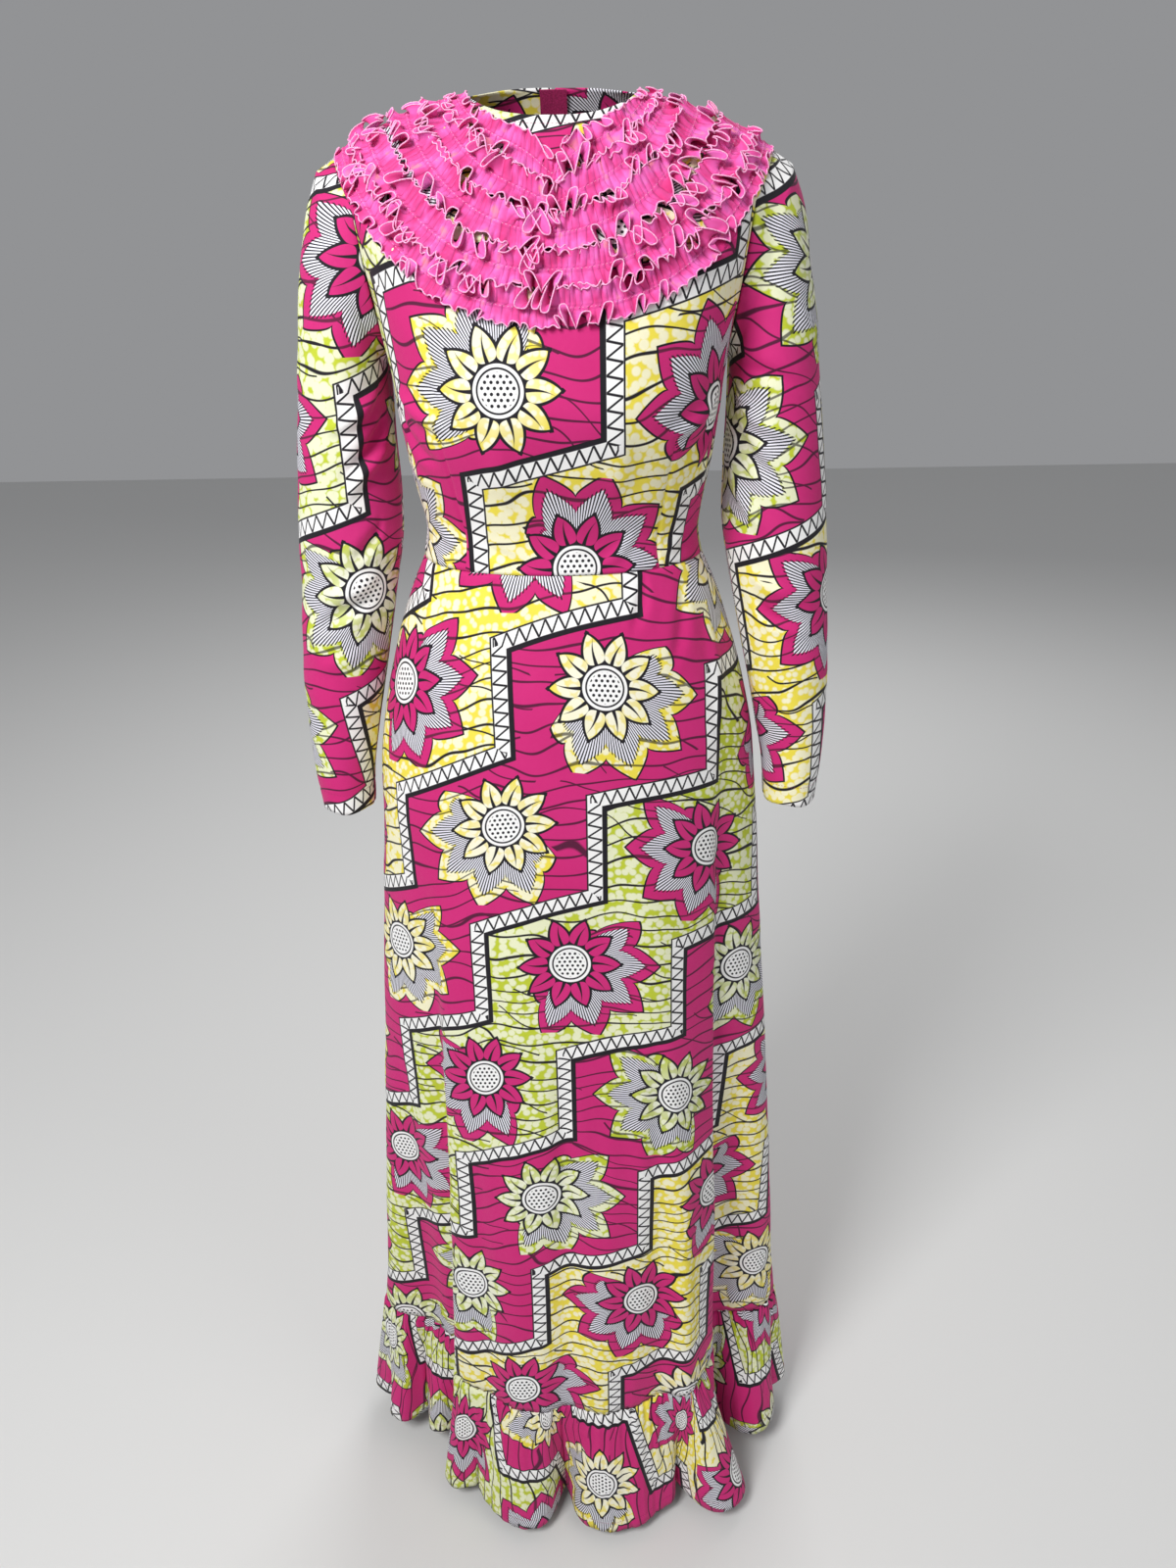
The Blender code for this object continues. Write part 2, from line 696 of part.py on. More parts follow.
def make_tape(bodice, skirt, collection, material):
    """A strip inside the centre back, from the neck to the foot of the zip."""
    angles, yoke, body, yoke_normals, body_normals = bodice
    centre = 2 * (len(QUARTER_ANGLES) - 1)
    skirt_points, skirt_normals = skirt
    skirt_centre = SKIRT_COLUMNS // 2
    lines = []
    for points, normals, column, first in (
        (yoke, yoke_normals, centre, 0),
        (body, body_normals, centre, 1),
        (skirt_points, skirt_normals, skirt_centre, 1),
    ):
        for row in range(first, len(points)):
            if points[row, column, 2] < ZIP_END_Z:
                break
            here = points[row, column]
            beside = points[row, column - 1]
            reach = TAPE_HALF_WIDTH / abs(beside[0] - here[0])
            edge = here + (beside - here) * reach
            mirrored = edge * np.array((-1.0, 1.0, 1.0))
            lines.append(((edge, here, mirrored), [normals[row, column]] * 3))
    grid = np.array([points for points, _ in lines])
    normals = np.array([outward for _, outward in lines])
    normals[:, :, 0] = 0.0
    normals /= np.linalg.norm(normals, axis=2, keepdims=True)
    grid = grid - normals * (CLOTH + TAPE_GAP)
    wall_from_blocks("zip_tape", [wall(grid, normals, TAPE_THICK)], collection, material)


def main():
    clear_scene()
    dress = new_collection("maxi_dress")
    cutters = new_collection("cutters")
    print_magenta = new_material("wax_print_magenta", MAGENTA, 0.75)
    print_lime = new_material("wax_print_lime", LIME, 0.75)
    pink = new_material("pink_ruffle", PINK, 0.6)
    brass = new_material("zip_metal", BRASS, 0.35, 1.0)
    bodice = make_bodice(dress, print_magenta)
    skirt = make_skirt(dress, print_magenta)
    make_flounce(dress, print_lime)
    make_sleeve("sleeve_left", 1, bodice, dress, print_lime)
    make_sleeve("sleeve_right", -1, bodice, dress, print_lime)
    for index in range(len(BIB_ROWS)):
        make_ruffle(index, dress, pink)
    make_tape(bodice, skirt, dress, print_magenta)
    hinge = make_zip(dress, cutters, print_magenta, brass)
    print("pull tab hinge at", [round(float(v), 5) for v in hinge])


main()
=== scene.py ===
# %% [markdown]
# A long-sleeved cotton dress with a ruffled bib, hollow as it is worn. The solids of its cloth walls, zip
# slider and pull tab come from the frame, at their real size. This file dresses them: each solid of cloth
# gives way to a thin shell cut flat like the maker's pattern piece and carried to its place on the body.

# %% Start from the frame
import json
import math
from functools import partial

import bmesh
import bpy
import numpy as np
from mathutils import Matrix, Vector

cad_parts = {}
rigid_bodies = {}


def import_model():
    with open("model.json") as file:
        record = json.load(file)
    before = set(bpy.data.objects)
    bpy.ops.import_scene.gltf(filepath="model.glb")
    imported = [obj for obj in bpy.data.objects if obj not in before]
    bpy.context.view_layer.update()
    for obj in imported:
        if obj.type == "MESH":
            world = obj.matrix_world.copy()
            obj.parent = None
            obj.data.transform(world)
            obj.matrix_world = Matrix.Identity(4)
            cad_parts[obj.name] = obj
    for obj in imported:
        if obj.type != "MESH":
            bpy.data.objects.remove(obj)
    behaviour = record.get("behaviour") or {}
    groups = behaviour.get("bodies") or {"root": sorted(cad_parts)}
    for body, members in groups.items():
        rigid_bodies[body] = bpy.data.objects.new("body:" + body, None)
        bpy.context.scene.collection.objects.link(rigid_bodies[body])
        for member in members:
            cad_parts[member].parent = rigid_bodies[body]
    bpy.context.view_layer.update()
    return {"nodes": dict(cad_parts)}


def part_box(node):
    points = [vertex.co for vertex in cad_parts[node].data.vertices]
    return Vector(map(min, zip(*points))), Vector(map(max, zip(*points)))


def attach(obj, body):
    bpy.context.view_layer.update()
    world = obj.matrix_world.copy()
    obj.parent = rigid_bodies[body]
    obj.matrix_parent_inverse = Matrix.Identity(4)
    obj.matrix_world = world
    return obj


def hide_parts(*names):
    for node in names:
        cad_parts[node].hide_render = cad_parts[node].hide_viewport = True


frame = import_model()

# %% [markdown]
# The camera comes early, because every later look goes through it. A phone held about a metre in front of
# the neck and tipped down sees the hem smaller than the shoulders, and that is most of this dress's outline.

# %% Camera
CAMERA_PLACE = (0.019, -1.04, -0.08)
CAMERA_TILT = math.radians(26.5)
CAMERA_ROLL = math.radians(-0.94)
FRAME_HEIGHT_MM, LENS_MM = 36.0, 26.5


def new_object(name, data):
    made = bpy.data.objects.new(name, data)
    bpy.context.scene.collection.objects.link(made)
    return made


lens = bpy.data.cameras.new("studio_camera")
lens.sensor_fit = "VERTICAL"
lens.sensor_height = FRAME_HEIGHT_MM
lens.lens = LENS_MM
camera = new_object("studio_camera", lens)
camera.matrix_world = (
    Matrix.Translation(CAMERA_PLACE)
    @ Matrix.Rotation(math.pi / 2 - CAMERA_TILT, 4, "X")
    @ Matrix.Rotation(CAMERA_ROLL, 4, "Z")
)
bpy.context.scene.camera = camera
print("camera", LENS_MM, "mm, tipped down", round(math.degrees(CAMERA_TILT), 1), "degrees")

# %% [markdown]
# A garment's form is a family of rings: round the neck and shoulders, then down the body, and round each
# arm. A short table with a row for each ring holds the driving sizes, and a smooth curve runs through the
# rows. The same tables shape the solids in the frame, so the shells lie on them without fitting.

# %% Driving sizes of the body
# Metres, in the frame's own axes: x to the left of the dress, y to its back, z up from the neck points
SEAM_GAP = 0.00015
WAIST_Z = -0.357
ARMPIT_Z = -0.188
FLOUNCE_TOP_Z = -1.315
HEM_Z = -1.482
CUFF_Z = -0.602
SEAM_SIDE_RISE, HEM_SIDE_RISE = 0.018, 0.022
ZIP_END_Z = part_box("zip_tape")[0][2] + 0.006
ARMHOLE_ANGLE = math.radians(60.0)
ARMPIT_X = 0.140

# columns: ring, y, z
YOKE_FRONT = (
    (0.0, -0.058, -0.018),
    (0.2, -0.073, -0.044),
    (0.4, -0.089, -0.072),
    (0.6, -0.103, -0.101),
    (0.8, -0.114, -0.130),
    (1.0, -0.121, -0.161),
)
# columns: ring, x, z
YOKE_SHOULDER = (
    (0.0, 0.066, 0.000),
    (0.25, 0.092, -0.006),
    (0.5, 0.119, -0.014),
    (0.75, 0.147, -0.025),
    (1.0, 0.172, -0.040),
)
# columns: ring, y, z
YOKE_BACK = (
    (0.0, 0.050, 0.008),
    (0.2, 0.064, -0.014),
    (0.4, 0.077, -0.043),
    (0.6, 0.087, -0.075),
    (0.8, 0.094, -0.110),
    (1.0, 0.098, -0.148),
)
YOKE_WIDTH_POWER = 0.80
YOKE_DROP_POWER = 1.70

# columns: z, half width, depth in front, depth behind
BODY_SECTIONS = (
    (-0.040, 0.158, 0.088, 0.078),
    (-0.120, 0.150, 0.112, 0.094),
    (-0.188, 0.140, 0.124, 0.098),
    (-0.225, 0.137, 0.126, 0.095),
    (-0.265, 0.132, 0.115, 0.087),
    (-0.300, 0.127, 0.100, 0.079),
    (-0.335, 0.122, 0.089, 0.073),
    (-0.357, 0.126, 0.090, 0.076),
    (-0.390, 0.140, 0.098, 0.090),
    (-0.440, 0.157, 0.107, 0.108),
    (-0.520, 0.177, 0.116, 0.123),
    (-0.620, 0.187, 0.121, 0.126),
    (-0.760, 0.200, 0.130, 0.129),
    (-0.940, 0.215, 0.146, 0.138),
    (-1.120, 0.229, 0.163, 0.150),
    (-1.240, 0.238, 0.174, 0.159),
    (-1.315, 0.246, 0.180, 0.166),
)
BODY_POWER = 0.92

# Long hanging folds of the skirt
# columns: angle from centre front, half spread, height where it starts, depth at the flounce
SKIRT_FOLDS = (
    (-53.0, 16.0, -0.60, 0.190),
    (55.0, 15.0, -0.52, 0.235),
    (-18.0, 12.0, -0.95, 0.026),
    (14.0, 11.0, -1.00, 0.030),
    (110.0, 15.0, -0.60, 0.130),
    (-112.0, 16.0, -0.66, 0.120),
    (150.0, 14.0, -0.70, 0.075),
    (-152.0, 14.0, -0.74, 0.070),
)

# Sharp crests beside the two deepest folds
# columns: angle, side of the trough, height where it starts, crest, trough and overhang in metres
SKIRT_CRESTS = (
    (45.5, 1, -0.50, 0.0050, 0.0120, 0.0090),
    (-38.0, -1, -0.66, 0.0040, 0.0170, 0.0070),
)

# columns: outer x, outer z, inner x, inner z, centre y, half depth
SLEEVE_SECTIONS = (
    (0.1885, -0.050, 0.1450, -0.196, 0.004, 0.0580),
    (0.2020, -0.085, 0.1452, -0.210, 0.003, 0.0575),
    (0.2120, -0.135, 0.1446, -0.228, 0.002, 0.0560),
    (0.2195, -0.185, 0.1440, -0.250, 0.001, 0.0540),
    (0.2280, -0.250, 0.1430, -0.285, 0.000, 0.0510),
    (0.2360, -0.320, 0.1440, -0.335, -0.002, 0.0480),
    (0.2410, -0.390, 0.1545, -0.395, -0.005, 0.0455),
    (0.2460, -0.450, 0.1660, -0.450, -0.009, 0.0430),
    (0.2480, -0.510, 0.1790, -0.510, -0.013, 0.0380),
    (0.2465, -0.560, 0.1880, -0.560, -0.017, 0.0330),
    (0.2425, CUFF_Z, 0.1925, CUFF_Z, -0.021, 0.0300),
)


def smooth_rows(table, key):
    """A table's other columns at these values of its first one, on a smooth curve through its rows."""
    rows = np.array(table, float)
    if rows[0, 0] > rows[-1, 0]:
        rows = rows[::-1]
    knots, values = rows[:, 0], rows[:, 1:]
    slopes = np.gradient(values, knots, axis=0)
    key = np.clip(np.asarray(key, float), knots[0], knots[-1])
    at = np.clip(np.searchsorted(knots, key) - 1, 0, len(knots) - 2)
    width = (knots[at + 1] - knots[at])[..., None]
    t = (key - knots[at])[..., None] / width
    start = values[at] * (2 * t**3 - 3 * t**2 + 1) + slopes[at] * width * (t**3 - 2 * t**2 + t)
    end = values[at + 1] * (3 * t**2 - 2 * t**3) + slopes[at + 1] * width * (t**3 - t**2)
    return np.moveaxis(start + end, -1, 0)


def signed_power(value, power):
    return np.sign(value) * np.abs(value) ** power


def yoke_point(ring, angle):
    """Shoulders and chest: ring 0 is the neckline, 1 the shoulder tips; angle 0 is the centre front."""
    ring, angle = np.broadcast_arrays(np.asarray(ring, float), angle)
    side_x, side_z = smooth_rows(YOKE_SHOULDER, ring)
    front = np.cos(angle) >= 0
    centre = np.where(front, smooth_rows(YOKE_FRONT, ring), smooth_rows(YOKE_BACK, ring))
    toward_centre = np.abs(np.cos(angle))
    x = side_x * signed_power(np.sin(angle), YOKE_WIDTH_POWER)
    z = side_z + (centre[1] - side_z) * toward_centre**YOKE_DROP_POWER
    return np.stack((x, centre[0] * toward_centre, z), axis=-1)


def body_point(angle, z):
    angle, z = np.broadcast_arrays(angle, np.asarray(z, float))
    half_width, front, back = smooth_rows(BODY_SECTIONS, z)
    depth = np.where(np.cos(angle) >= 0, front, back)
    x = half_width * signed_power(np.sin(angle), BODY_POWER)
    y = -depth * signed_power(np.cos(angle), BODY_POWER)
    return np.stack((x, y, z), axis=-1)


def skirt_point(angle, z):
    """The body section, drawn in along each hanging fold."""
    point = body_point(angle, z)
    pull = np.zeros_like(point[..., 0])
    for fold_angle, spread, start_z, depth in SKIRT_FOLDS:
        away = (np.degrees(angle) - fold_angle + 180) % 360 - 180
        share = np.clip((start_z - z) / (start_z - FLOUNCE_TOP_Z), 0, None)
        near = np.cos(np.pi * np.clip(away / (4 * spread), -0.5, 0.5)) ** 2
        pull += depth * share**0.8 * near
    point[..., :2] *= (1 - pull)[..., None]
    return point


def draped_skirt(angle, z):
    """The same skirt with the crests of its two deepest folds drawn to a sharper edge, as the cloth hangs."""
    point = skirt_point(angle, z)
    outward = point[..., :2] / np.linalg.norm(point[..., :2], axis=-1, keepdims=True)
    for crest_angle, side, start_z, crest, trough, overhang in SKIRT_CRESTS:
        away = side * (np.degrees(angle) - crest_angle)
        share = np.clip((start_z - z) / (start_z - FLOUNCE_TOP_Z), 0, 1) ** 0.6
        out = crest * np.exp(-((away / 5) ** 2)) - trough * np.exp(-(((away - 10) / 5.5) ** 2))
        over = side * overhang * np.exp(-(((away + 0.5) / 4.5) ** 2))
        point[..., 0] += share * (outward[..., 0] * out - outward[..., 1] * over)
        point[..., 1] += share * (outward[..., 1] * out + outward[..., 0] * over)
    return point


def armhole_arc(angle):
    """The lower half of an armhole's edge, from the front or back corner down to the armpit."""
    behind = np.abs(angle) > math.pi / 2
    corner_angle = np.where(behind, math.pi - ARMHOLE_ANGLE, ARMHOLE_ANGLE)
    corner = yoke_point(1.0, corner_angle)
    from_side = np.abs(np.abs(angle) - math.pi / 2)
    turn = (1 - from_side / (math.pi / 2 - ARMHOLE_ANGLE)) * math.pi / 2
    x = corner[..., 0] + (ARMPIT_X - corner[..., 0]) * np.sin(turn)
    y = corner[..., 1] * np.cos(turn)
    z = corner[..., 2] + (ARMPIT_Z - corner[..., 2]) * np.sin(turn)
    return np.stack((x * np.sign(angle), y, z), axis=-1)


def bodice_point(share, angle):
    """The bodice below the yoke: share 0 is its top edge, or the armhole's lower edge, and 1 the waist."""
    beside = np.abs(np.abs(angle) - math.pi / 2) < math.pi / 2 - ARMHOLE_ANGLE
    top = np.where(beside[..., None], armhole_arc(angle), yoke_point(1.0, angle))
    shift = top - body_point(angle, top[..., 2])
    z = top[..., 2] + (WAIST_Z - top[..., 2]) * share
    return body_point(angle, z) + shift * ((1 - share) ** 2)[..., None]


def sleeve_point(down, turn):
    """A left sleeve: down 0 is the armhole and 1 the cuff; turn 0 is the outer line, a quarter the front."""
    quarter = math.pi / 2
    wrapped = turn % (2 * math.pi)
    from_top = np.minimum(wrapped, 2 * math.pi - wrapped)
    sign = np.where(wrapped <= math.pi, -1.0, 1.0)
    upper_angle = quarter + sign * (quarter - ARMHOLE_ANGLE) * from_top / quarter
    lower_angle = quarter + sign * (quarter - ARMHOLE_ANGLE) * (2 - from_top / quarter)
    upper = (from_top <= quarter)[..., None]
    edge = np.where(upper, yoke_point(1.0, upper_angle), armhole_arc(lower_angle))
    edge[..., 0] += 2 * SEAM_GAP
    count = len(SLEEVE_SECTIONS)
    rows = [(k + 1.0, *row) for k, row in enumerate(SLEEVE_SECTIONS)]
    key = down * count
    outer_x, outer_z, inner_x, inner_z, centre_y, half_depth = smooth_rows(rows, np.maximum(key, 1.0))
    lean = (1 + np.cos(turn)) / 2
    ring = np.stack(
        (
            inner_x + (outer_x - inner_x) * lean,
            centre_y - half_depth * np.sin(turn),
            inner_z + (outer_z - inner_z) * lean,
        ),
        axis=-1,
    )
    share = np.clip(key, 0, 1)[..., None]
    return edge + (ring - edge) * share


waist_half_width = float(smooth_rows(BODY_SECTIONS, WAIST_Z)[0])
print("waist", round(2 * waist_half_width, 3), "m wide; dress", -HEM_Z, "m long")

# %% [markdown]
# Every piece of cloth starts as a flat grid, as the cutter has it. `cut_cloth` lays the grid, asks a carry
# function where each point goes on the body and where it lies in the flat pattern, and keeps the flat place
# as a UV map in metres. The print is drawn in those flat places, so it runs true to the cut and breaks at
# the seams, as in a real dress. Solidify then gives the cloth its two faces.

# %% Cloth from a flat grid
CLOTH = 0.0008


def unit(vectors):
    return vectors / np.maximum(np.linalg.norm(vectors, axis=-1, keepdims=True), 1e-12)


def grid_normals(points):
    """Outward unit normals of a grid whose rows run to the right and downwards, seen from outside."""
    return unit(np.cross(np.gradient(points, axis=0), np.gradient(points, axis=1)))


def lengths_along(line):
    """How far along a line of points each of them is."""
    return np.concatenate(([0.0], np.cumsum(np.linalg.norm(np.diff(line, axis=0), axis=1))))


def on_line(place, lengths, line):
    """The points of a line at these lengths along it."""
    return np.stack([np.interp(place, lengths, line[:, k]) for k in range(3)], axis=-1)


# The print's repeat in millimetres: to the same corner of the next stepped line, and of the next step
NEXT_LINE = (196.0, 20.0)
NEXT_STEP = (-115.0, 127.0)


def laid_on_print(cut, anchor, corner, turn=0.0):
    """A cut piece's places on the print: its anchor, in millimetres, lies at this corner of the repeat."""
    line, step = corner
    turn = math.radians(turn)
    spot = np.array([line * NEXT_LINE[k] + step * NEXT_STEP[k] for k in (0, 1)])
    away = cut * 1000 - np.array(anchor)
    turned = away @ np.array(((math.cos(turn), math.sin(turn)), (-math.sin(turn), math.cos(turn))))
    return (turned + spot) / 1000


def lay_uv(mesh, name, places):
    mesh.uv_layers.new(name=name).data.foreach_set("uv", places.astype(np.float32).ravel())


# Where each grid of cloth came to lie, kept for the sewing
laid_cloth = {}


def cut_cloth(
    name, columns, rows, carry, print_place=None, gap_rows=(), darts=None, join=False, thickness=CLOTH
):
    """A grid of cloth carried to its place; gap_rows are cut out where an armhole lies between two rows."""
    bm = bmesh.new()
    bmesh.ops.create_grid(bm, x_segments=columns, y_segments=rows, size=0.5)
    mesh = bpy.data.meshes.new(name)
    bm.to_mesh(mesh)
    laid = np.empty(len(mesh.vertices) * 3, np.float32)
    mesh.vertices.foreach_get("co", laid)
    laid = laid.reshape(-1, 3)
    order = np.lexsort((laid[:, 0].round(5), -laid[:, 1].round(5)))
    rank = np.empty(len(order), int)
    rank[order] = np.arange(len(order))
    shape = (rows + 1, columns + 1)
    across = np.broadcast_to(np.arange(columns + 1) / columns, shape)
    down = np.broadcast_to((np.arange(rows + 1) / rows)[:, None], shape)
    points, flat, *pleats = carry(across, down)
    laid_cloth[name] = points
    mesh.vertices.foreach_set("co", points.reshape(-1, 3)[rank].astype(np.float32).ravel())
    corners = np.empty(len(mesh.loops), np.int32)
    mesh.loops.foreach_get("vertex_index", corners)
    cut = flat.reshape(-1, 2)[rank][corners]
    if darts:
        middle = (rank[corners] % (columns + 1)).reshape(-1, 4).mean(axis=1).repeat(4)
        cut[:, 0] += darts(middle / columns, cut[:, 1])
    lay_uv(mesh, "flat_cut", cut)
    if print_place:
        lay_uv(mesh, "on_print", laid_on_print(cut, *print_place))
    if pleats:
        lay_uv(mesh, "pleats", pleats[0].reshape(-1, 2)[rank][corners])
    bm.clear()
    bm.from_mesh(mesh)
    if gap_rows:
        row_of = rank // (columns + 1)
        bm.faces.ensure_lookup_table()
        strip = [f for f in bm.faces if tuple(sorted({row_of[v.index] for v in f.verts})) == gap_rows]
        bmesh.ops.delete(bm, geom=strip, context="FACES")
    if gap_rows or join:
        bmesh.ops.remove_doubles(bm, verts=bm.verts, dist=2e-5)
    bm.to_mesh(mesh)
    bm.free()
    mesh.shade_smooth()
    piece = new_object(name, mesh)
    solid = piece.modifiers.new("cloth_thickness", "SOLIDIFY")
    solid.thickness = thickness
    solid.offset = -1.0
    solid.use_rim = True
    return piece


def flat_cut(points, centre_column):
    """Each point's place in the flat piece: along its row from the centre column, and down from the neck."""
    steps = np.linalg.norm(np.diff(points[..., :2], axis=1), axis=2)
    along = np.concatenate((np.zeros((len(points), 1)), np.cumsum(steps, axis=1)), axis=1)
    u = along - along[:, centre_column : centre_column + 1]
    return np.stack((u, -points[..., 2]), axis=-1)


# All folds are deepened together, since soft daylight flattens them
FOLD_DEPTH = 1.8


def folds(flat, table):
    """How far each point stands off its form, in metres: each row is one soft fold, in millimetres."""
    lift = np.zeros(flat.shape[:-1])
    u, v = flat[..., 0] * 1000, flat[..., 1] * 1000
    for from_u, from_v, to_u, to_v, bow, width, height in table:
        run = np.array((to_u - from_u, to_v - from_v), float)
        length = np.hypot(*run)
        run /= length
        t = ((u - from_u) * run[0] + (v - from_v) * run[1]) / length
        off = (v - from_v) * run[0] - (u - from_u) * run[1] - bow * 4 * t * (1 - t)
        inside = np.clip(t, 0, 1)
        side = off / (width * (0.45 + 0.55 * np.sin(np.pi * inside)))
        shape = (1 - 0.8 * side**2) * np.exp(-(side**2) / 1.6)
        lift += FOLD_DEPTH * height * 0.001 * shape * np.sin(np.pi * inside) ** 0.7
    return lift


def unevenness(flat, size, height, seed):
    """A slow, shallow wander of the cloth, in metres: a few long waves at different angles."""
    rng = np.random.default_rng(seed)
    lift = np.zeros(flat.shape[:-1])
    for _ in range(7):
        angle, phase, scale = rng.uniform(0, np.pi), rng.uniform(0, 2 * np.pi), rng.uniform(0.7, 1.6)
        wave = (flat[..., 0] * np.cos(angle) + flat[..., 1] * np.sin(angle)) * 2 * np.pi / (size * scale)
        lift += np.sin(wave + phase + 0.8 * np.sin(wave * 0.37 + seed))
    return lift * height / 7


def rolled_in(distance, depth=0.0011, reach=0.0035):
    """How far the cloth sinks towards a seam this far away, so that two panels meet in a soft groove."""
    return -depth * np.exp(-((distance / reach) ** 2))


def join_dress(piece):
    """The piece moves with the dress."""
    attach(piece, "root")


def cut_size(piece):
    """The flat piece's width, length and area, from its own pattern coordinates."""
    mesh = piece.data
    cut = np.empty(len(mesh.loops) * 2, np.float32)
    mesh.uv_layers["flat_cut"].data.foreach_get("uv", cut)
    cut = cut.reshape(-1, 4, 2).astype(float)
    size = cut.reshape(-1, 2).max(axis=0) - cut.reshape(-1, 2).min(axis=0)
    first, second = cut[:, 2] - cut[:, 0], cut[:, 3] - cut[:, 1]
    area = float(np.abs(first[:, 0] * second[:, 1] - first[:, 1] * second[:, 0]).sum() / 2)
    return (float(size[0]), float(size[1])), area


def finish_panel(piece, node):
    """The piece takes the place of its solid in the frame and states the size that it was cut to."""
    size, area = cut_size(piece)
    join_dress(piece)
    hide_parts(node)
    print(node, "cut", [round(side, 3) for side in size], "m,", len(piece.data.polygons), "faces")
    return piece


# %% [markdown]
# The bodice front is one piece from the neckline to the waist. Above its armholes it spreads to the shoulder
# seams, so the grid has a row cut out between the upper and the lower edge of each armhole. Its folds are
# written down as a table, as a tailor would chalk them: from where to where in the flat piece, how far the
# line bows, how wide it is and how high it stands. Troughs have a negative height.

# %% Bodice
YOKE_ROWS, BODY_ROWS = 44, 72
DART_ANGLE = 40.0
DART_TOP_Z = -0.235
DART_TAKE_UP = 0.022
DART_GROOVE, DART_GROOVE_REACH = 0.0013, 0.0020
# Metres of cloth in one degree round the bust, and the share of the yoke's run back that counts as height
BUST_DEGREE = 0.0022
YOKE_SLOPE = 0.45
ZIP_HALF_GAP = 0.0016

# columns: from u, from v, to u, to v, bow, width, height, all in millimetres from the neck points' middle
FRONT_BODICE_FOLDS = (
    (-150, 205, -88, 234, 5, 7.0, 2.4),
    (-156, 230, -100, 264, 6, 7.5, -2.3),
    (-160, 262, -112, 286, 5, 7.5, 1.3),
    (-120, 196, -96, 214, -3, 5.0, -1.2),
    (150, 208, 90, 242, -6, 7.5, 2.5),
    (158, 236, 102, 260, -4, 7.0, -2.2),
    (152, 268, 116, 300, -5, 8.0, 1.2),
    (-70, 330, -26, 350, 3, 6.0, -0.9),
    (64, 322, 30, 352, -4, 6.0, 0.9),
    (-118, 318, -84, 340, 3, 6.0, 1.1),
    (116, 326, 90, 346, -3, 6.0, 1.0),
    (-46, 226, -40, 300, 4, 11.0, 0.9),
    (48, 224, 42, 296, -5, 12.0, 0.9),
    (8, 300, 4, 352, 3, 9.0, -0.7),
)
BACK_BODICE_FOLDS = (
    (14, 196, 66, 214, 5, 7.5, 1.3),
    (90, 214, 150, 240, -6, 7.0, 1.6),
    (84, 246, 150, 268, -5, 7.5, -1.4),
    (20, 290, 70, 300, 4, 7.0, 1.4),
    (24, 318, 92, 326, -4, 6.0, -1.3),
    (14, 338, 60, 342, 3, 5.5, 1.1),
    (96, 300, 130, 318, 3, 6.5, 1.2),
)


def panel_side(start, end):
    """0 for a front panel, which lies on both sides, 1 for a left back panel and -1 for a right one."""
    return 0 if start == -end else int(math.copysign(1, start))


def centre_column(side, columns):
    return {0: columns // 2, 1: columns - 1, -1: 0}[side]


def panel_lift(flat, side, table, size, height, seed):
    """A panel's folds and unevenness; the two backs share a table, written for the right one."""
    mirrored = flat * np.array((-1.0 if side > 0 else 1.0, 1.0))
    return folds(mirrored, table) + unevenness(flat, size, height, seed)


def kept_from_zip(points, side, gap):
    """Back panels end at the zip, each on its own side."""
    if side:
        points[..., 0] = side * np.maximum(side * points[..., 0], gap)
    return points


def bodice_carry(start, end, table, seed):
    side = panel_side(start, end)

    def carry(across, down):
        angle = np.radians(start + (end - start) * across)
        row = down * (YOKE_ROWS + 1 + BODY_ROWS)
        upper = row < YOKE_ROWS + 0.5
        yoke = yoke_point(np.clip(row / YOKE_ROWS, 0, 1), angle)
        body = bodice_point(np.clip((row - YOKE_ROWS - 1) / BODY_ROWS, 0, 1), angle)
        points = np.where(upper[..., None], yoke, body)
        normals = np.where(upper[..., None], grid_normals(yoke), grid_normals(body))
        flat = flat_cut(body, centre_column(side, across.shape[1]))
        edge_x, edge_y = yoke[YOKE_ROWS, :, 0], yoke[YOKE_ROWS, :, 1]
        edge_u = flat[YOKE_ROWS + 1, :, 0]
        in_order = np.argsort(edge_x)
        flat_u = np.interp(yoke[..., 0], edge_x[in_order], edge_u[in_order])
        back_from_edge = np.abs(yoke[..., 1] - np.interp(yoke[..., 0], edge_x[in_order], edge_y[in_order]))
        flat_v = -yoke[..., 2] - YOKE_SLOPE * back_from_edge
        flat = np.where(upper[..., None], np.stack((flat_u, flat_v), axis=-1), flat)
        from_front = np.abs(np.degrees(angle))
        from_dart = (180 - from_front if side else from_front) - DART_ANGLE
        dart_depth = np.clip((DART_TOP_Z - points[..., 2]) / 0.030, 0, 1)
        above_waist = points[..., 2] - WAIST_Z
        lift = panel_lift(flat, side, table, size=0.06, height=0.0011, seed=seed)
        lift += dart_depth * rolled_in(from_dart * BUST_DEGREE, DART_GROOVE, DART_GROOVE_REACH)
        lift += rolled_in(above_waist) + rolled_in(np.abs(90 - from_front) * BUST_DEGREE)
        seam_fade = np.clip(above_waist / 0.012, 0, 1) * 0.7 + 0.3
        points = points + normals * (lift * seam_fade)[..., None]
        return kept_from_zip(points, side, ZIP_HALF_GAP), flat

    return carry


def bust_darts(middle, v):
    """How much further from the centre front the cloth lies beyond a dart, which takes up a long wedge."""
    share = np.clip((v + DART_TOP_Z) / (DART_TOP_Z - WAIST_Z), 0, 1)
    beyond = np.abs(middle - 0.5) * 180 > DART_ANGLE
    return np.sign(middle - 0.5) * beyond * share * DART_TAKE_UP


ARMHOLE_ROWS = (YOKE_ROWS, YOKE_ROWS + 1)
# The bodice was cut with the print upside down
BODICE_TURN = 180.0
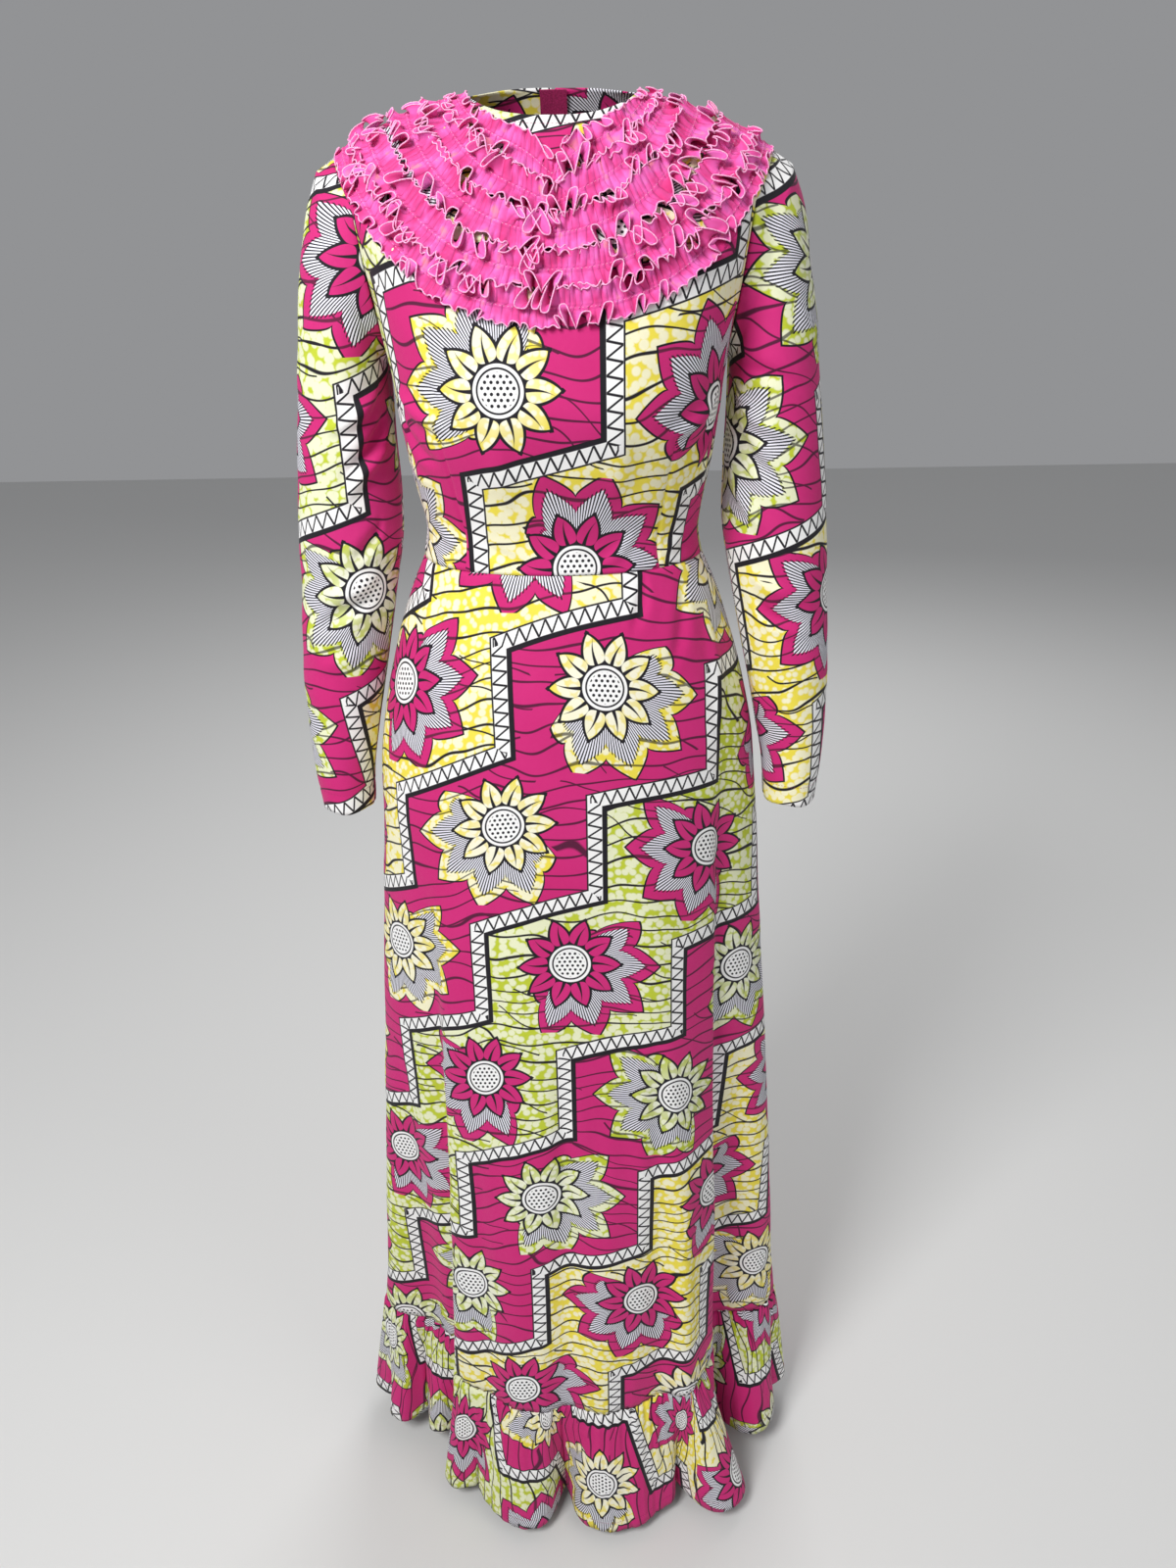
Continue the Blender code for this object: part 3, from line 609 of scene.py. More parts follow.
# columns: piece, node, from and to angle, grid columns, anchor and corner on the print, folds, seed, darts
for name, node, start, end, columns, place, table, seed, darts in (
    ("front", "front_bodice", -90, 90, 216, ((43.0, 246.0), (0, 2)), FRONT_BODICE_FOLDS, 3, bust_darts),
    ("back_left", "back_bodice_left", 90, 180, 96, ((-60.0, 190.0), (1, 2)), BACK_BODICE_FOLDS, 5, None),
    ("back_right", "back_bodice_right", -180, -90, 96, ((35.0, 225.0), (3, 1)), BACK_BODICE_FOLDS, 7, None),
):
    carry = bodice_carry(start, end, table, seed)
    rows = YOKE_ROWS + 1 + BODY_ROWS
    place = (*place, BODICE_TURN)
    piece = cut_cloth(f"bodice_{name}_cloth", columns, rows, carry, place, ARMHOLE_ROWS, darts)
    finish_panel(piece, node)

# %% [markdown]
# The skirt hangs in long, soft folds that start below the hips and deepen towards the flounce. The big ones
# belong to the form and are in the frame too. The table adds the smaller ones: short creases that run out of
# the waist seam, and slow upright waves low down, where the cloth has room to swing.

# %% Skirt
GRAIN_RISE, GRAIN_RADIUS = 0.060, 0.330
SKIRT_FRONT_WIDTH, SKIRT_BACK_WIDTH = 0.33, 0.25
SKIRT_PUCKER, SKIRT_PUCKER_PITCH = 0.0007, 0.011
ZIP_FOOT_LENGTH = 0.020

# columns: from u, from v, to u, to v, bow, width, height, all in millimetres
FRONT_SKIRT_FOLDS = (
    (-96, 352, -70, 408, 4, 6.0, -1.6),
    (-60, 352, -50, 392, 2, 5.0, -1.2),
    (72, 352, 58, 402, -4, 6.0, -1.5),
    (110, 352, 96, 430, -5, 8.0, -1.6),
    (-126, 360, -116, 460, 6, 9.0, 1.6),
    (140, 380, 150, 480, -5, 10.0, 1.4),
    (-40, 620, -30, 1080, 10, 26.0, 1.4),
    (60, 560, 84, 1060, -12, 28.0, 1.5),
    (-60, 880, -68, 1600, 4, 25.0, 3.0),
    (-12, 830, -22, 1600, -4, 19.0, -4.4),
    (38, 900, 33, 1600, 4, 25.0, 2.8),
    (82, 800, 93, 1600, -5, 19.0, -4.4),
    (-106, 930, -112, 1600, 3, 17.0, -2.6),
    (120, 980, 128, 1600, 2, 14.0, 1.8),
    (-40, 1150, -42, 1500, 2, 10.0, 1.2),
    (8, 1180, 10, 1500, -2, 10.0, -1.2),
    (60, 1170, 62, 1500, 2, 10.0, 1.2),
    (-30, 440, 46, 520, 14, 22.0, 1.1),
    (52, 700, -40, 800, -12, 24.0, 1.0),
    (-214, 860, -246, 1700, 4, 36.0, -7.0),
    (208, 840, 240, 1700, -4, 34.0, -8.0),
)
BACK_SKIRT_FOLDS = (
    (30, 352, 38, 420, 3, 6.0, -1.6),
    (62, 352, 76, 430, -4, 7.0, -1.7),
    (96, 352, 116, 440, 4, 8.0, 1.5),
    (128, 362, 140, 470, -4, 9.0, -1.4),
    (40, 560, 52, 1330, 8, 26.0, 3.0),
    (84, 720, 102, 1330, -8, 24.0, -3.6),
    (20, 900, 24, 1330, 5, 17.0, -2.8),
    (132, 840, 156, 1330, 7, 24.0, 3.4),
    (186, 900, 214, 1330, -6, 22.0, -3.2),
    (66, 1120, 72, 1330, 2, 13.0, 2.0),
    (118, 1160, 126, 1330, -2, 12.0, -2.0),
    (238, 980, 262, 1330, 5, 18.0, 2.8),
)


def grain_rise(u):
    """How much higher the cross grain of a flared panel hangs at this distance from its centre line."""
    return GRAIN_RISE * (1 - np.exp(-(u**2) / (2 * GRAIN_RADIUS * GRAIN_RISE)))


def skirt_carry(start, end, table, seed):
    side = panel_side(start, end)

    def carry(across, down):
        angle = np.radians(start + (end - start) * across)
        low = FLOUNCE_TOP_Z + SEAM_GAP * 2 + SEAM_SIDE_RISE * np.sin(angle) ** 2
        z = WAIST_Z - SEAM_GAP + (low - WAIST_Z) * down**1.15
        points = draped_skirt(angle, z)
        flat = flat_cut(skirt_point(angle, z), centre_column(side, across.shape[1]))
        flat[..., 1] -= grain_rise(flat[..., 0])
        lift = panel_lift(flat, side, table, size=0.10, height=0.0016, seed=seed)
        share = {0: np.minimum(across, 1 - across), 1: across, -1: 1 - across}[side]
        from_side = share * (SKIRT_BACK_WIDTH if side else SKIRT_FRONT_WIDTH)
        phase = flat[..., 0] * 2 * np.pi / SKIRT_PUCKER_PITCH + 2.0 * np.sin(flat[..., 0] * 31 + seed)
        lift += SKIRT_PUCKER * np.sin(phase) * np.exp(-((z - low) / 0.016))
        lift += rolled_in(WAIST_Z - z) + rolled_in(z - low) + rolled_in(from_side)
        points = points + grid_normals(points) * lift[..., None]
        opened = np.clip((z - ZIP_END_Z) / ZIP_FOOT_LENGTH, 0, 1) * (ZIP_HALF_GAP - SEAM_GAP) + SEAM_GAP
        return kept_from_zip(points, side, opened), flat

    return carry


for name, node, start, end, grid, place, table, seed in (
    ("front", "front_skirt", -90, 90, (200, 128), ((-54.7, 410.4), (0, 0)), FRONT_SKIRT_FOLDS, 11),
    ("back_left", "back_skirt_left", 90, 180, (100, 112), ((-40.0, 470.0), (2, 1)), BACK_SKIRT_FOLDS, 13),
    ("back_right", "back_skirt_right", -180, -90, (100, 112), ((70.0, 430.0), (1, 3)), BACK_SKIRT_FOLDS, 17),
):
    piece = cut_cloth(f"skirt_{name}_cloth", *grid, skirt_carry(start, end, table, seed), place)
    finish_panel(piece, node)

# %% [markdown]
# A set-in sleeve is one flat piece, rolled and sewn under the arm. Its seam is at the inner line, so the grid
# starts and ends there, and the two edges are merged once they meet. Most of its creases belong to the
# armpit: short drag lines that fan out of it. A few more lie at the elbow, where an arm would bend.

# %% Sleeves
# columns: from u, from v, to u, to v, bow, width, height; u runs from the outer line, minus to the front
LEFT_SLEEVE_FOLDS = (
    (-118, 214, -60, 256, 5, 7.5, 2.9),
    (-122, 236, -74, 290, 6, 7.5, -3.0),
    (-124, 262, -88, 334, 6, 8.5, 2.6),
    (-112, 196, -52, 216, -4, 6.0, -1.4),
    (-56, 150, -22, 176, 4, 7.0, 1.0),
    (-104, 372, -48, 392, 4, 7.0, 2.4),
    (-102, 392, -54, 420, 5, 6.5, -2.6),
    (-92, 420, -30, 432, -4, 7.0, 1.3),
    (-80, 470, -40, 520, 4, 8.0, 0.9),
    (96, 214, 44, 250, -5, 7.0, 1.7),
    (112, 240, 70, 296, -6, 7.5, -1.8),
    (110, 300, 84, 352, -4, 8.0, 1.5),
    (98, 376, 40, 398, -4, 7.0, 1.6),
    (92, 404, 34, 430, 5, 7.0, -1.5),
    (70, 452, 30, 500, -4, 9.0, 1.0),
)
RIGHT_SLEEVE_FOLDS = (
    (114, 206, 60, 244, -5, 7.5, 2.8),
    (122, 230, 78, 276, -5, 8.0, -3.2),
    (118, 260, 74, 304, 4, 7.0, 2.6),
    (110, 318, 78, 354, -5, 6.5, -2.4),
    (52, 152, 24, 184, -4, 7.5, 1.0),
    (106, 366, 48, 386, -5, 7.5, 2.4),
    (104, 388, 42, 420, 4, 7.0, -2.9),
    (90, 436, 40, 452, -3, 7.0, 1.1),
    (-100, 216, -48, 248, 5, 7.0, 1.7),
    (-114, 246, -74, 300, 6, 7.0, -1.7),
    (-100, 380, -46, 398, 4, 7.0, 1.6),
    (-94, 410, -40, 436, -5, 7.0, -1.4),
    (-70, 460, -36, 508, 4, 9.0, 0.9),
)
CUFF_HEM, CUFF_WAVE = 0.021, 0.0012
# A sleeve's width at the armpit, and its length from there to the cuff, to turn shares into metres
SLEEVE_WIDTH, SLEEVE_LENGTH = 0.24, 0.55
# Above this share of its length the sleeve curves over the shoulder, and each lengthwise thread is followed
SLEEVE_HEAD = 0.35


def sleeve_carry(side, table, seed):
    def carry(across, down):
        turn = side * math.pi * (1 - 2 * across)
        points = sleeve_point(down, turn) * np.array((side, 1.0, 1.0))
        flat = flat_cut(points, across.shape[1] // 2)
        head = int(SLEEVE_HEAD * (len(points) - 1))
        steps = np.linalg.norm(np.diff(points[: head + 1], axis=0), axis=-1)
        flat[:head, :, 1] = flat[head, :, 1] - np.cumsum(steps[::-1], axis=0)[::-1]
        flat[:head, :, 0] = flat[head, :, 0]
        normals = grid_normals(points)
        normals[:, -1] = normals[:, 0] = (normals[:, 0] + normals[:, -1]) / 2
        from_seam = np.minimum(across, 1 - across) * SLEEVE_WIDTH
        quiet = np.clip(from_seam / 0.010, 0, 1) * np.clip(down / 0.03, 0, 1)
        lift = (folds(flat, table) + unevenness(flat, size=0.07, height=0.0014, seed=seed)) * quiet
        to_hem = CUFF_Z + CUFF_HEM - points[..., 2]
        lift += rolled_in(from_seam, 0.0007) + rolled_in(down * SLEEVE_LENGTH, 0.0012, 0.004)
        lift += rolled_in(to_hem, 0.0006, 0.0014)
        points = points + normals * lift[..., None]
        points[..., 2] += CUFF_WAVE * np.sin(4 * turn + seed) * np.clip(down - 0.85, 0, 1) / 0.15
        points[:, -1] = points[:, 0]
        return points, flat

    return carry


for node, side, place, table, seed in (
    ("sleeve_left", 1, ((-128.0, 364.0), (3, 1), 6.5), LEFT_SLEEVE_FOLDS, 19),
    ("sleeve_right", -1, ((80.0, 211.0), (2, 0), 5.5), RIGHT_SLEEVE_FOLDS, 23),
):
    carry = sleeve_carry(side, table, seed)
    finish_panel(cut_cloth(f"{node}_cloth", 120, 132, carry, place, join=True), node)

# %% [markdown]
# The flounce is a straight strip gathered onto the skirt's lower edge. Small puckers crowd at the seam, and
# lower down they join into big rounded lobes with deep, narrow notches between them. A real gathered hem is
# uneven, so a table says how far it stands out or is drawn in, place by place, and a sideways sway that
# follows the slope closes the lobes into tubes.

# %% Flounce
FLOUNCE_FLARE = 0.019
FLOUNCE_LENGTH = 0.167
LOBE_SWAY = 0.0062
FLOUNCE_PUCKER, FLOUNCE_PUCKER_PITCH = 0.0018, 0.0105
# places along the seam from 0 to 1, and how far the hem stands out from its flare there, in millimetres
FRONT_HEM = (
    (0.000, 0), (0.026, 11), (0.055, -10), (0.088, 12), (0.118, -14), (0.150, 11), (0.180, -15), (0.211, 13),
    (0.242, -16), (0.274, 11), (0.300, -9), (0.332, 7), (0.372, 12), (0.412, 6), (0.446, -40), (0.482, 5),
    (0.520, 12), (0.585, 12), (0.620, 4), (0.650, -38), (0.668, 24), (0.684, 44), (0.702, 30), (0.722, 0),
    (0.755, -34), (0.792, -20), (0.826, -22), (0.856, 16), (0.884, 32), (0.914, 18), (0.950, -12), (0.976, 6),
    (1.000, 0),
)
BACK_HEM = (
    (0.000, 0), (0.035, -10), (0.070, 12), (0.108, -13), (0.150, 14), (0.188, -9), (0.222, 11), (0.262, -18),
    (0.310, 13), (0.352, 6), (0.388, -24), (0.428, 10), (0.474, 12), (0.512, -20), (0.548, 11), (0.600, 9),
    (0.636, -22), (0.676, 13), (0.716, -11), (0.752, 12), (0.796, -15), (0.840, 14), (0.880, -10),
    (0.920, 11), (0.960, -9), (1.000, 0),
)


def skirt_edge(names, start):
    """The skirt's lower edge, which a flounce hangs from, and the angle round the body at its points."""
    rows = [laid_cloth[name][-1] for name in names]
    share = 180 / len(rows)
    angles = [np.linspace(start + share * k, start + share * (k + 1), len(row)) for k, row in enumerate(rows)]
    return np.concatenate(rows), np.radians(np.concatenate(angles))


def flounce_carry(names, start, table, seed):
    def carry(across, down):
        edge, turns = skirt_edge(names, start)
        along = lengths_along(edge)
        place = across * along[-1]
        turn = np.interp(place, along, turns)
        base = on_line(place, along, edge)
        reach = math.radians(2.0)
        seam_z = np.full_like(turn, FLOUNCE_TOP_Z)
        toward = unit(skirt_point(turn + reach, seam_z) - skirt_point(turn - reach, seam_z))
        outward = np.stack((toward[..., 1], -toward[..., 0], 0 * turn), axis=-1)
        out = smooth_rows(table, across)[0] / 1000
        slope = np.gradient(out, axis=1) * across.shape[1]
        wave = out * down**1.1 + 0.0008 * np.sin(across * 173 + seed) * np.exp(-(((down - 0.35) / 0.3) ** 2))
        sway = -LOBE_SWAY * np.tanh(slope / 0.6) * down**1.2
        pucker_phase = place * 2 * np.pi / FLOUNCE_PUCKER_PITCH + 1.7 * np.sin(across * 47 + seed)
        puckers = FLOUNCE_PUCKER * np.sin(pucker_phase) * np.exp(-down / 0.26)
        hem_z = HEM_Z + HEM_SIDE_RISE * np.sin(turn) ** 2 - 0.08 * np.minimum(out, 0.012) * down**2
        seam = 0.0011 + rolled_in(down * FLOUNCE_LENGTH, 0.0012, 0.004)
        flare = FLOUNCE_FLARE * down**0.8 + wave + puckers + seam
        points = base + outward * flare[..., None] + toward * sway[..., None]
        points[..., 2] = base[..., 2] - 2 * SEAM_GAP + (hem_z - base[..., 2]) * down
        hem_along = lengths_along(points[-1])
        u = np.broadcast_to(hem_along - hem_along[-1] / 2, across.shape)
        return points, np.stack((u, -points[..., 2]), axis=-1)

    return carry


# The flounce strips were cut along the cloth, so their print lies on its side
FLOUNCE_TURN = -90.0
BACK_SKIRTS = ("skirt_back_left_cloth", "skirt_back_right_cloth")
for node, skirts, start, table, place, seed in (
    ("flounce_front", ("skirt_front_cloth",), -90, FRONT_HEM, ((36.0, 1323.0), (0, 0)), 29),
    ("flounce_back", BACK_SKIRTS, 90, BACK_HEM, ((60.0, 1360.0), (2, 1)), 31),
):
    carry = flounce_carry(skirts, start, table, seed)
    finish_panel(cut_cloth(f"{node}_cloth", 420, 26, carry, (*place, FLOUNCE_TURN)), node)

# %% [markdown]
# The bib is five strips of thin pink cloth, gathered along the middle and stitched down there. Both halves of
# a strip stand up from the stitching, some parts nearly flat and some folded right over, and the rolled edge
# draws loops. So each half is turned about the stitch line by an angle that rises and falls along the strip,
# from flutes of uneven width.

# %% Ruffle strips
RUFFLE_CLOTH = 0.00035
RUFFLE_HALF_WIDTH = 0.0170
BIB_END = math.radians(87.0)
TALL_FLUTES, CLUSTERING = 0.40, 0.34
FLAT_LIFT, TALL_LIFT, FLOP = math.radians(12), math.radians(88), math.radians(60)
LOOP_BULGE = 0.0020
FALLEN = 0.50
PLEAT, EDGE_WIGGLE = 0.0054, 0.0068
GATHER_HEIGHT, CRUMPLE = 0.0016, 0.0004
CASING_HEIGHT, CASING_REACH = 0.0013, 0.0016
RUFFLE_STEP, RUFFLE_ROWS = 0.00056, 14
# columns: name, ring at the centre front, ring at the shoulder, depth of the V at the centre
BIB_ROWS = (
    ("ruffle_1", 0.300, 0.070, 0.16),
    ("ruffle_2", 0.436, 0.205, 0.09),
    ("ruffle_3", 0.575, 0.440, 0.03),
    ("ruffle_4", 0.735, 0.720, 0.0),
    ("ruffle_5", 0.905, 0.920, 0.0),
)
BIB_NECK_ROW = (0.220, 0.006, 0.20)
BIB_LAST_ROW = (0.995, 0.985, 0.0)
LAST_RUFFLE = len(BIB_ROWS) - 1


def row_ring(row, angle):
    """The ring that a row of the bib follows: it rises to the shoulders, and the upper rows meet in a V."""
    front, shoulder, vee = row
    aside = np.abs(np.sin(angle))
    return front + (shoulder - front) * aside**1.5 - vee * (1 - np.exp(-aside / 0.14)) * (1 - aside)


def yoke_axes(ring, angle):
    """The directions along a ring, down the dress and out of the cloth, at these places of the yoke."""
    step = 0.004
    along = unit(yoke_point(ring, angle + step) - yoke_point(ring, angle - step))
    down = yoke_point(ring + step, angle) - yoke_point(ring - step, angle)
    outward = unit(np.cross(down, along))
    return along, np.cross(along, outward), outward


def flutes(length, rng):
    """Uneven flutes along a ruffle's edge: where each starts, how far it turns up and which way it flops."""
    starts, turns, flops = [-0.01], [], []
    phase = rng.uniform(0, 6)
    while starts[-1] < length + 0.02:
        tall = rng.random() < TALL_FLUTES + CLUSTERING * math.sin(starts[-1] * 95 + phase)
        width = rng.uniform(0.0054, 0.0094) if tall else rng.uniform(0.0060, 0.0120)
        starts.append(starts[-1] + width)
        turns.append(rng.uniform(0.55, 1.0) if tall else rng.uniform(0.05, 0.42))
        flops.append(rng.choice((-1, 1)) * (rng.uniform(0.35, 1.0) if tall else rng.uniform(0.0, 0.5)))
    return np.array(starts), np.array(turns), np.array(flops)


def fluted(along, side, reach, sides):
    """Where the cloth stands at each point: how far turned up and flopped over, its wander and its bulge."""
    lift, flop, slow, bulge = (np.zeros_like(along) for _ in range(4))
    for which, (starts, turns, flops, phases) in sides.items():
        here = side == which
        place = along + 0.0010 * np.sin(along * 260 + phases[0]) * reach
        count = np.clip(np.interp(place, starts, np.arange(len(starts))), 0, len(turns) - 1e-6)
        turned = turns[count.astype(int)]
        hump = 1 - np.abs(2 * (count % 1) - 1) ** 3.0
        wander = np.sin(along * 61 + phases[1]) + np.sin(along * 143 + phases[2])
        wiggle = np.sin(along * 2 * np.pi / EDGE_WIGGLE + phases[3] + 1.5 * np.sin(along * 97))
        slow = np.where(here, wander + 1.4 * wiggle * reach**2, slow)
        turned_up = TALL_LIFT * turned * hump * reach**0.5
        lift = np.where(here, FLAT_LIFT * (1 + 0.35 * wander) + turned_up, lift)
        flop = np.where(here, FLOP * flops[count.astype(int)] * hump * turned, flop)
        bulge = np.where(here, -LOOP_BULGE * np.sin(2 * np.pi * count) * turned * reach**2, bulge)
    return lift, flop, slow, bulge


def ruffle(index):
    name, *row = BIB_ROWS[index]
    rng = np.random.default_rng(41 + index)
    fine = np.linspace(-BIB_END, BIB_END, 1601)
    line = yoke_point(row_ring(row, fine), fine)
    lengths = lengths_along(line)
    columns = int(lengths[-1] / RUFFLE_STEP)
    sides = {side: (*flutes(lengths[-1], rng), rng.uniform(0, 6, 4)) for side in (-1, 1)}
    inner = BIB_ROWS[index - 1][1:] if index else BIB_NECK_ROW
    outer = BIB_ROWS[index + 1][1:] if index < LAST_RUFFLE else BIB_LAST_ROW
    crowd = np.full_like(lengths, 0.7)
    for starts, turns, *_ in sides.values():
        crowd += turns[np.clip(np.searchsorted(starts, lengths) - 1, 0, len(turns) - 1)]
    crowd = np.concatenate(([0.0], np.cumsum(crowd[1:] * np.diff(lengths))))

    def carry(across, down):
        along = np.interp(across * crowd[-1], crowd, lengths)
        half = 2 * down - 1
        side = np.where(half < 0, -1, 1)
        reach = np.abs(half)
        lift, flop, slow, bulge = fluted(along, side, reach, sides)
        angle = np.interp(along, lengths, fine)
        ring = row_ring(row, angle)
        centre = yoke_point(ring, angle)
        along_axis, down_axis, outward = yoke_axes(ring, angle)
        width = np.full_like(across, RUFFLE_HALF_WIDTH)
        for which, beside in ((-1, inner), (1, outer)):
            room = np.linalg.norm(yoke_point(row_ring(beside, angle), angle) - centre, axis=-1)
            at_bib_edge = index == (0 if which < 0 else LAST_RUFFLE)
            narrow = room if at_bib_edge else 0.70 * room
            width = np.where(side == which, np.clip(narrow, 0.008, RUFFLE_HALF_WIDTH), width)
        radius = width * reach * (1 + 0.045 * slow)
        pleat_count = along / PLEAT + 0.40 * np.sin(along * 190)
        pleat_count = pleat_count + 0.22 * side + 0.25 * reach * np.sin(along * 55 + index)
        pleat = np.abs(np.sin(np.pi * pleat_count))
        gathers = GATHER_HEIGHT * (pleat**0.6 - 0.6) * np.clip(reach * 6, 0, 1) * (1 - 0.80 * reach)
        crumple = CRUMPLE * np.sin(along * 900 + half * 5 + index) * reach
        casing = CASING_HEIGHT * np.exp(-((radius / CASING_REACH) ** 2))
        standing = radius * np.sin(lift) * np.clip(reach * 4, 0, 1)
        height = 0.0007 + FALLEN * standing * np.cos(flop) + gathers + crumple + casing
        points = (
            centre
            + down_axis * (side * radius * np.cos(lift))[..., None]
            + along_axis * (0.8 * standing * np.sin(flop) + bulge)[..., None]
            + outward * height[..., None]
        )
        gather = np.linalg.norm(np.diff(points, axis=1), axis=2).sum(axis=1).mean() / lengths[-1]
        flat = np.stack((along * gather, half * width.mean()), axis=-1)
        return points, flat, np.stack((pleat_count, half), axis=-1)

    piece = cut_cloth(f"{name}_cloth", columns, RUFFLE_ROWS, carry, thickness=RUFFLE_CLOTH)
    finish_panel(piece, name)
    return piece, columns


ruffles = [ruffle(index) for index in range(len(BIB_ROWS))]

# %% [markdown]
# Both long borders of a strip are rolled and bound with thread, which keeps thin cloth from fraying. Each roll
# is a curve with a round bevel. It takes the points of the cloth's own border, so it follows every flute.

# %% Rolled edges of the ruffles
ROLLED_EDGE = 0.00056


def rolled_edge(name, piece, columns):
    """A round roll of thread-bound cloth along both long borders of a strip."""
    mesh = piece.data
    coordinates = np.empty(len(mesh.vertices) * 3, np.float32)
    mesh.vertices.foreach_get("co", coordinates)
    rows = coordinates.reshape(-1, columns + 1, 3)
    curve = bpy.data.curves.new(name, "CURVE")
    curve.dimensions = "3D"
    curve.bevel_depth = 1.0
    curve.bevel_resolution = 1
    curve.use_fill_caps = True
    for border in (rows[0], rows[-1]):
        spline = curve.splines.new("POLY")
        spline.points.add(columns)
        spline.points.foreach_set("co", np.pad(border, ((0, 0), (0, 1)), constant_values=1).ravel())
        spline.points.foreach_set("radius", np.full(columns + 1, ROLLED_EDGE))
        spline.use_smooth = True
    return new_object(name, curve)


edges = [rolled_edge(f"ruffle_{k + 1}_rolled_edges", *ruffle_piece) for k, ruffle_piece in enumerate(ruffles)]
for edge in edges:
    join_dress(edge)
print("rolled edges on", len(edges), "strips")

# %% [markdown]
# The zip's tape, slider and pull tab are in the frame. Its teeth are here: small metal blocks on the tape,
# one from each side in turn, so that they lock. The centre-back line comes from the same tables as the cloth.

# %% Zip teeth
TOOTH_PITCH = 0.0015
TOOTH_SIZE = (0.0030, 0.0010, 0.0013)
TOOTH_STAGGER, TOOTH_BEVEL = 0.0005, 0.00022
FOOT_SIZE, FOOT_DROP, FOOT_ROOM = (0.0042, 0.0034, 0.0016), 0.0035, 0.006
TAPE_DEPTH = 0.0021


def centre_back():
    """Points down the centre back, on the cloth's outer face, and the ways down and out of the cloth."""
    ring, share = np.linspace(0, 1, 80), np.linspace(0, 1, 80)[1:]
    low = np.linspace(WAIST_Z, ZIP_END_Z, 40)[1:]
    line = np.concatenate(
        (
            yoke_point(ring, math.pi),
            bodice_point(share, np.full_like(share, math.pi)),
            skirt_point(np.full_like(low, math.pi), low),
        )
    )
    line[:, 0] = 0
    down = unit(np.gradient(line, axis=0))
    return line, lengths_along(line), down, np.stack((0 * down[:, 0], -down[:, 2], down[:, 1]), axis=1)


def placed(across, down, out, at):
    """A matrix that lays a small shape at a point, with its own x, y and z along these three directions."""
    frame_matrix = Matrix((across, down, out)).transposed().to_4x4()
    frame_matrix.translation = at
    return frame_matrix


def built(name, bm):
    """The finished shape as a piece that rides the dress."""
    bmesh.ops.recalc_face_normals(bm, faces=bm.faces[:])
    mesh = bpy.data.meshes.new(name)
    bm.to_mesh(mesh)
    bm.free()
    piece = new_object(name, mesh)
    join_dress(piece)
    return piece


line, along, down, out = centre_back()
start = np.interp(-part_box("zip_slider")[0][2], -line[:, 2], along)
places = np.arange(start, along[-1] - FOOT_ROOM, TOOTH_PITCH)
bm = bmesh.new()
for number, place in enumerate(places):
    at, way, off = (on_line(place, along, part) for part in (line, down, out))
    at = at - off * (TAPE_DEPTH - TOOTH_SIZE[2] / 2 + 0.0001)
    at[0] = TOOTH_STAGGER if number % 2 else -TOOTH_STAGGER
    matrix = placed((1, 0, 0), way, off, at) @ Matrix.Diagonal((*TOOTH_SIZE, 1))
    bmesh.ops.create_cube(bm, size=1, matrix=matrix)
foot = placed((1, 0, 0), way, off, at) @ Matrix.Diagonal((*FOOT_SIZE, 1))
foot.translation = (0, *(at + way * FOOT_DROP)[1:])
bmesh.ops.create_cube(bm, size=1, matrix=foot)
rounding = {"segments": 1, "profile": 0.5, "affect": "EDGES", "material": -1}
bmesh.ops.bevel(bm, geom=bm.edges[:], offset=TOOTH_BEVEL, **rounding)
zip_teeth = built("zip_teeth", bm)
print("zip teeth:", len(places), "faces:", len(zip_teeth.data.polygons))

# %% [markdown]
# Sewing thread shows wherever a hem or an edge is stitched down: round the cuffs, the flounce's hem and the
# neck, beside the zip, and along the middle of each ruffle. A stitch is a tiny stretched ball, half sunk in
# the cloth, and each row of stitches follows a line of the cloth's own grid.

# %% Sewing
STITCH_LENGTH, STITCH_PITCH, THREAD = 0.0023, 0.0031, 0.00042
# The grid rows that are stitched: the third from the flounce's hem and the third from the neck's edge
HEM_STITCH_ROW, NECK_STITCH_ROW = -3, 2
ZIP_STITCH_AWAY = 0.0065


def stitches(name, rows):
    """One mesh of stitches along several lines of points, each given with the ways out of the cloth."""
    bm = bmesh.new()
    for points, outward in rows:
        lengths = lengths_along(points)
        for place in np.arange(STITCH_PITCH / 2, lengths[-1], STITCH_PITCH):
            first, last = (on_line(place + half * STITCH_LENGTH, lengths, points) for half in (-0.5, 0.5))
            out = Vector(on_line(place, lengths, outward)).normalized()
            way = Vector(last - first).normalized()
            across = out.cross(way).normalized()
            at = Vector((first + last) / 2) + out * THREAD * 0.2
            matrix = placed(way, across, way.cross(across), at)
            matrix = matrix @ Matrix.Diagonal((STITCH_LENGTH / 2, THREAD / 2, THREAD / 2, 1))
            bmesh.ops.create_icosphere(bm, subdivisions=1, radius=1, matrix=matrix)
    piece = built(name, bm)
    piece.data.shade_smooth()
    print(name, len(piece.data.polygons) // 20, "stitches")
    return piece


def grid_row(name, row):
    points = laid_cloth[name]
    return points[row], grid_normals(points)[row]


def row_at_height(name, z):
    return int(np.argmin(np.abs(laid_cloth[name][..., 2].mean(axis=1) - z)))


def beside_zip(name, side):
    """The stitched line down a back panel beside the zip, as far as the zip's foot."""
    points = laid_cloth[name]
    normals = grid_normals(points)
    found = []
    for row, ways in zip(points, normals):
        near = np.argsort(side * row[:, 0])
        place = side * row[near, 0]
        beside = [np.interp(ZIP_STITCH_AWAY, place, part[near, k]) for part in (row, ways) for k in range(3)]
        found.append(beside)
    found = np.array(found)
    found = found[found[:, 2] > ZIP_END_Z]
    return found[:, :3], found[:, 3:]


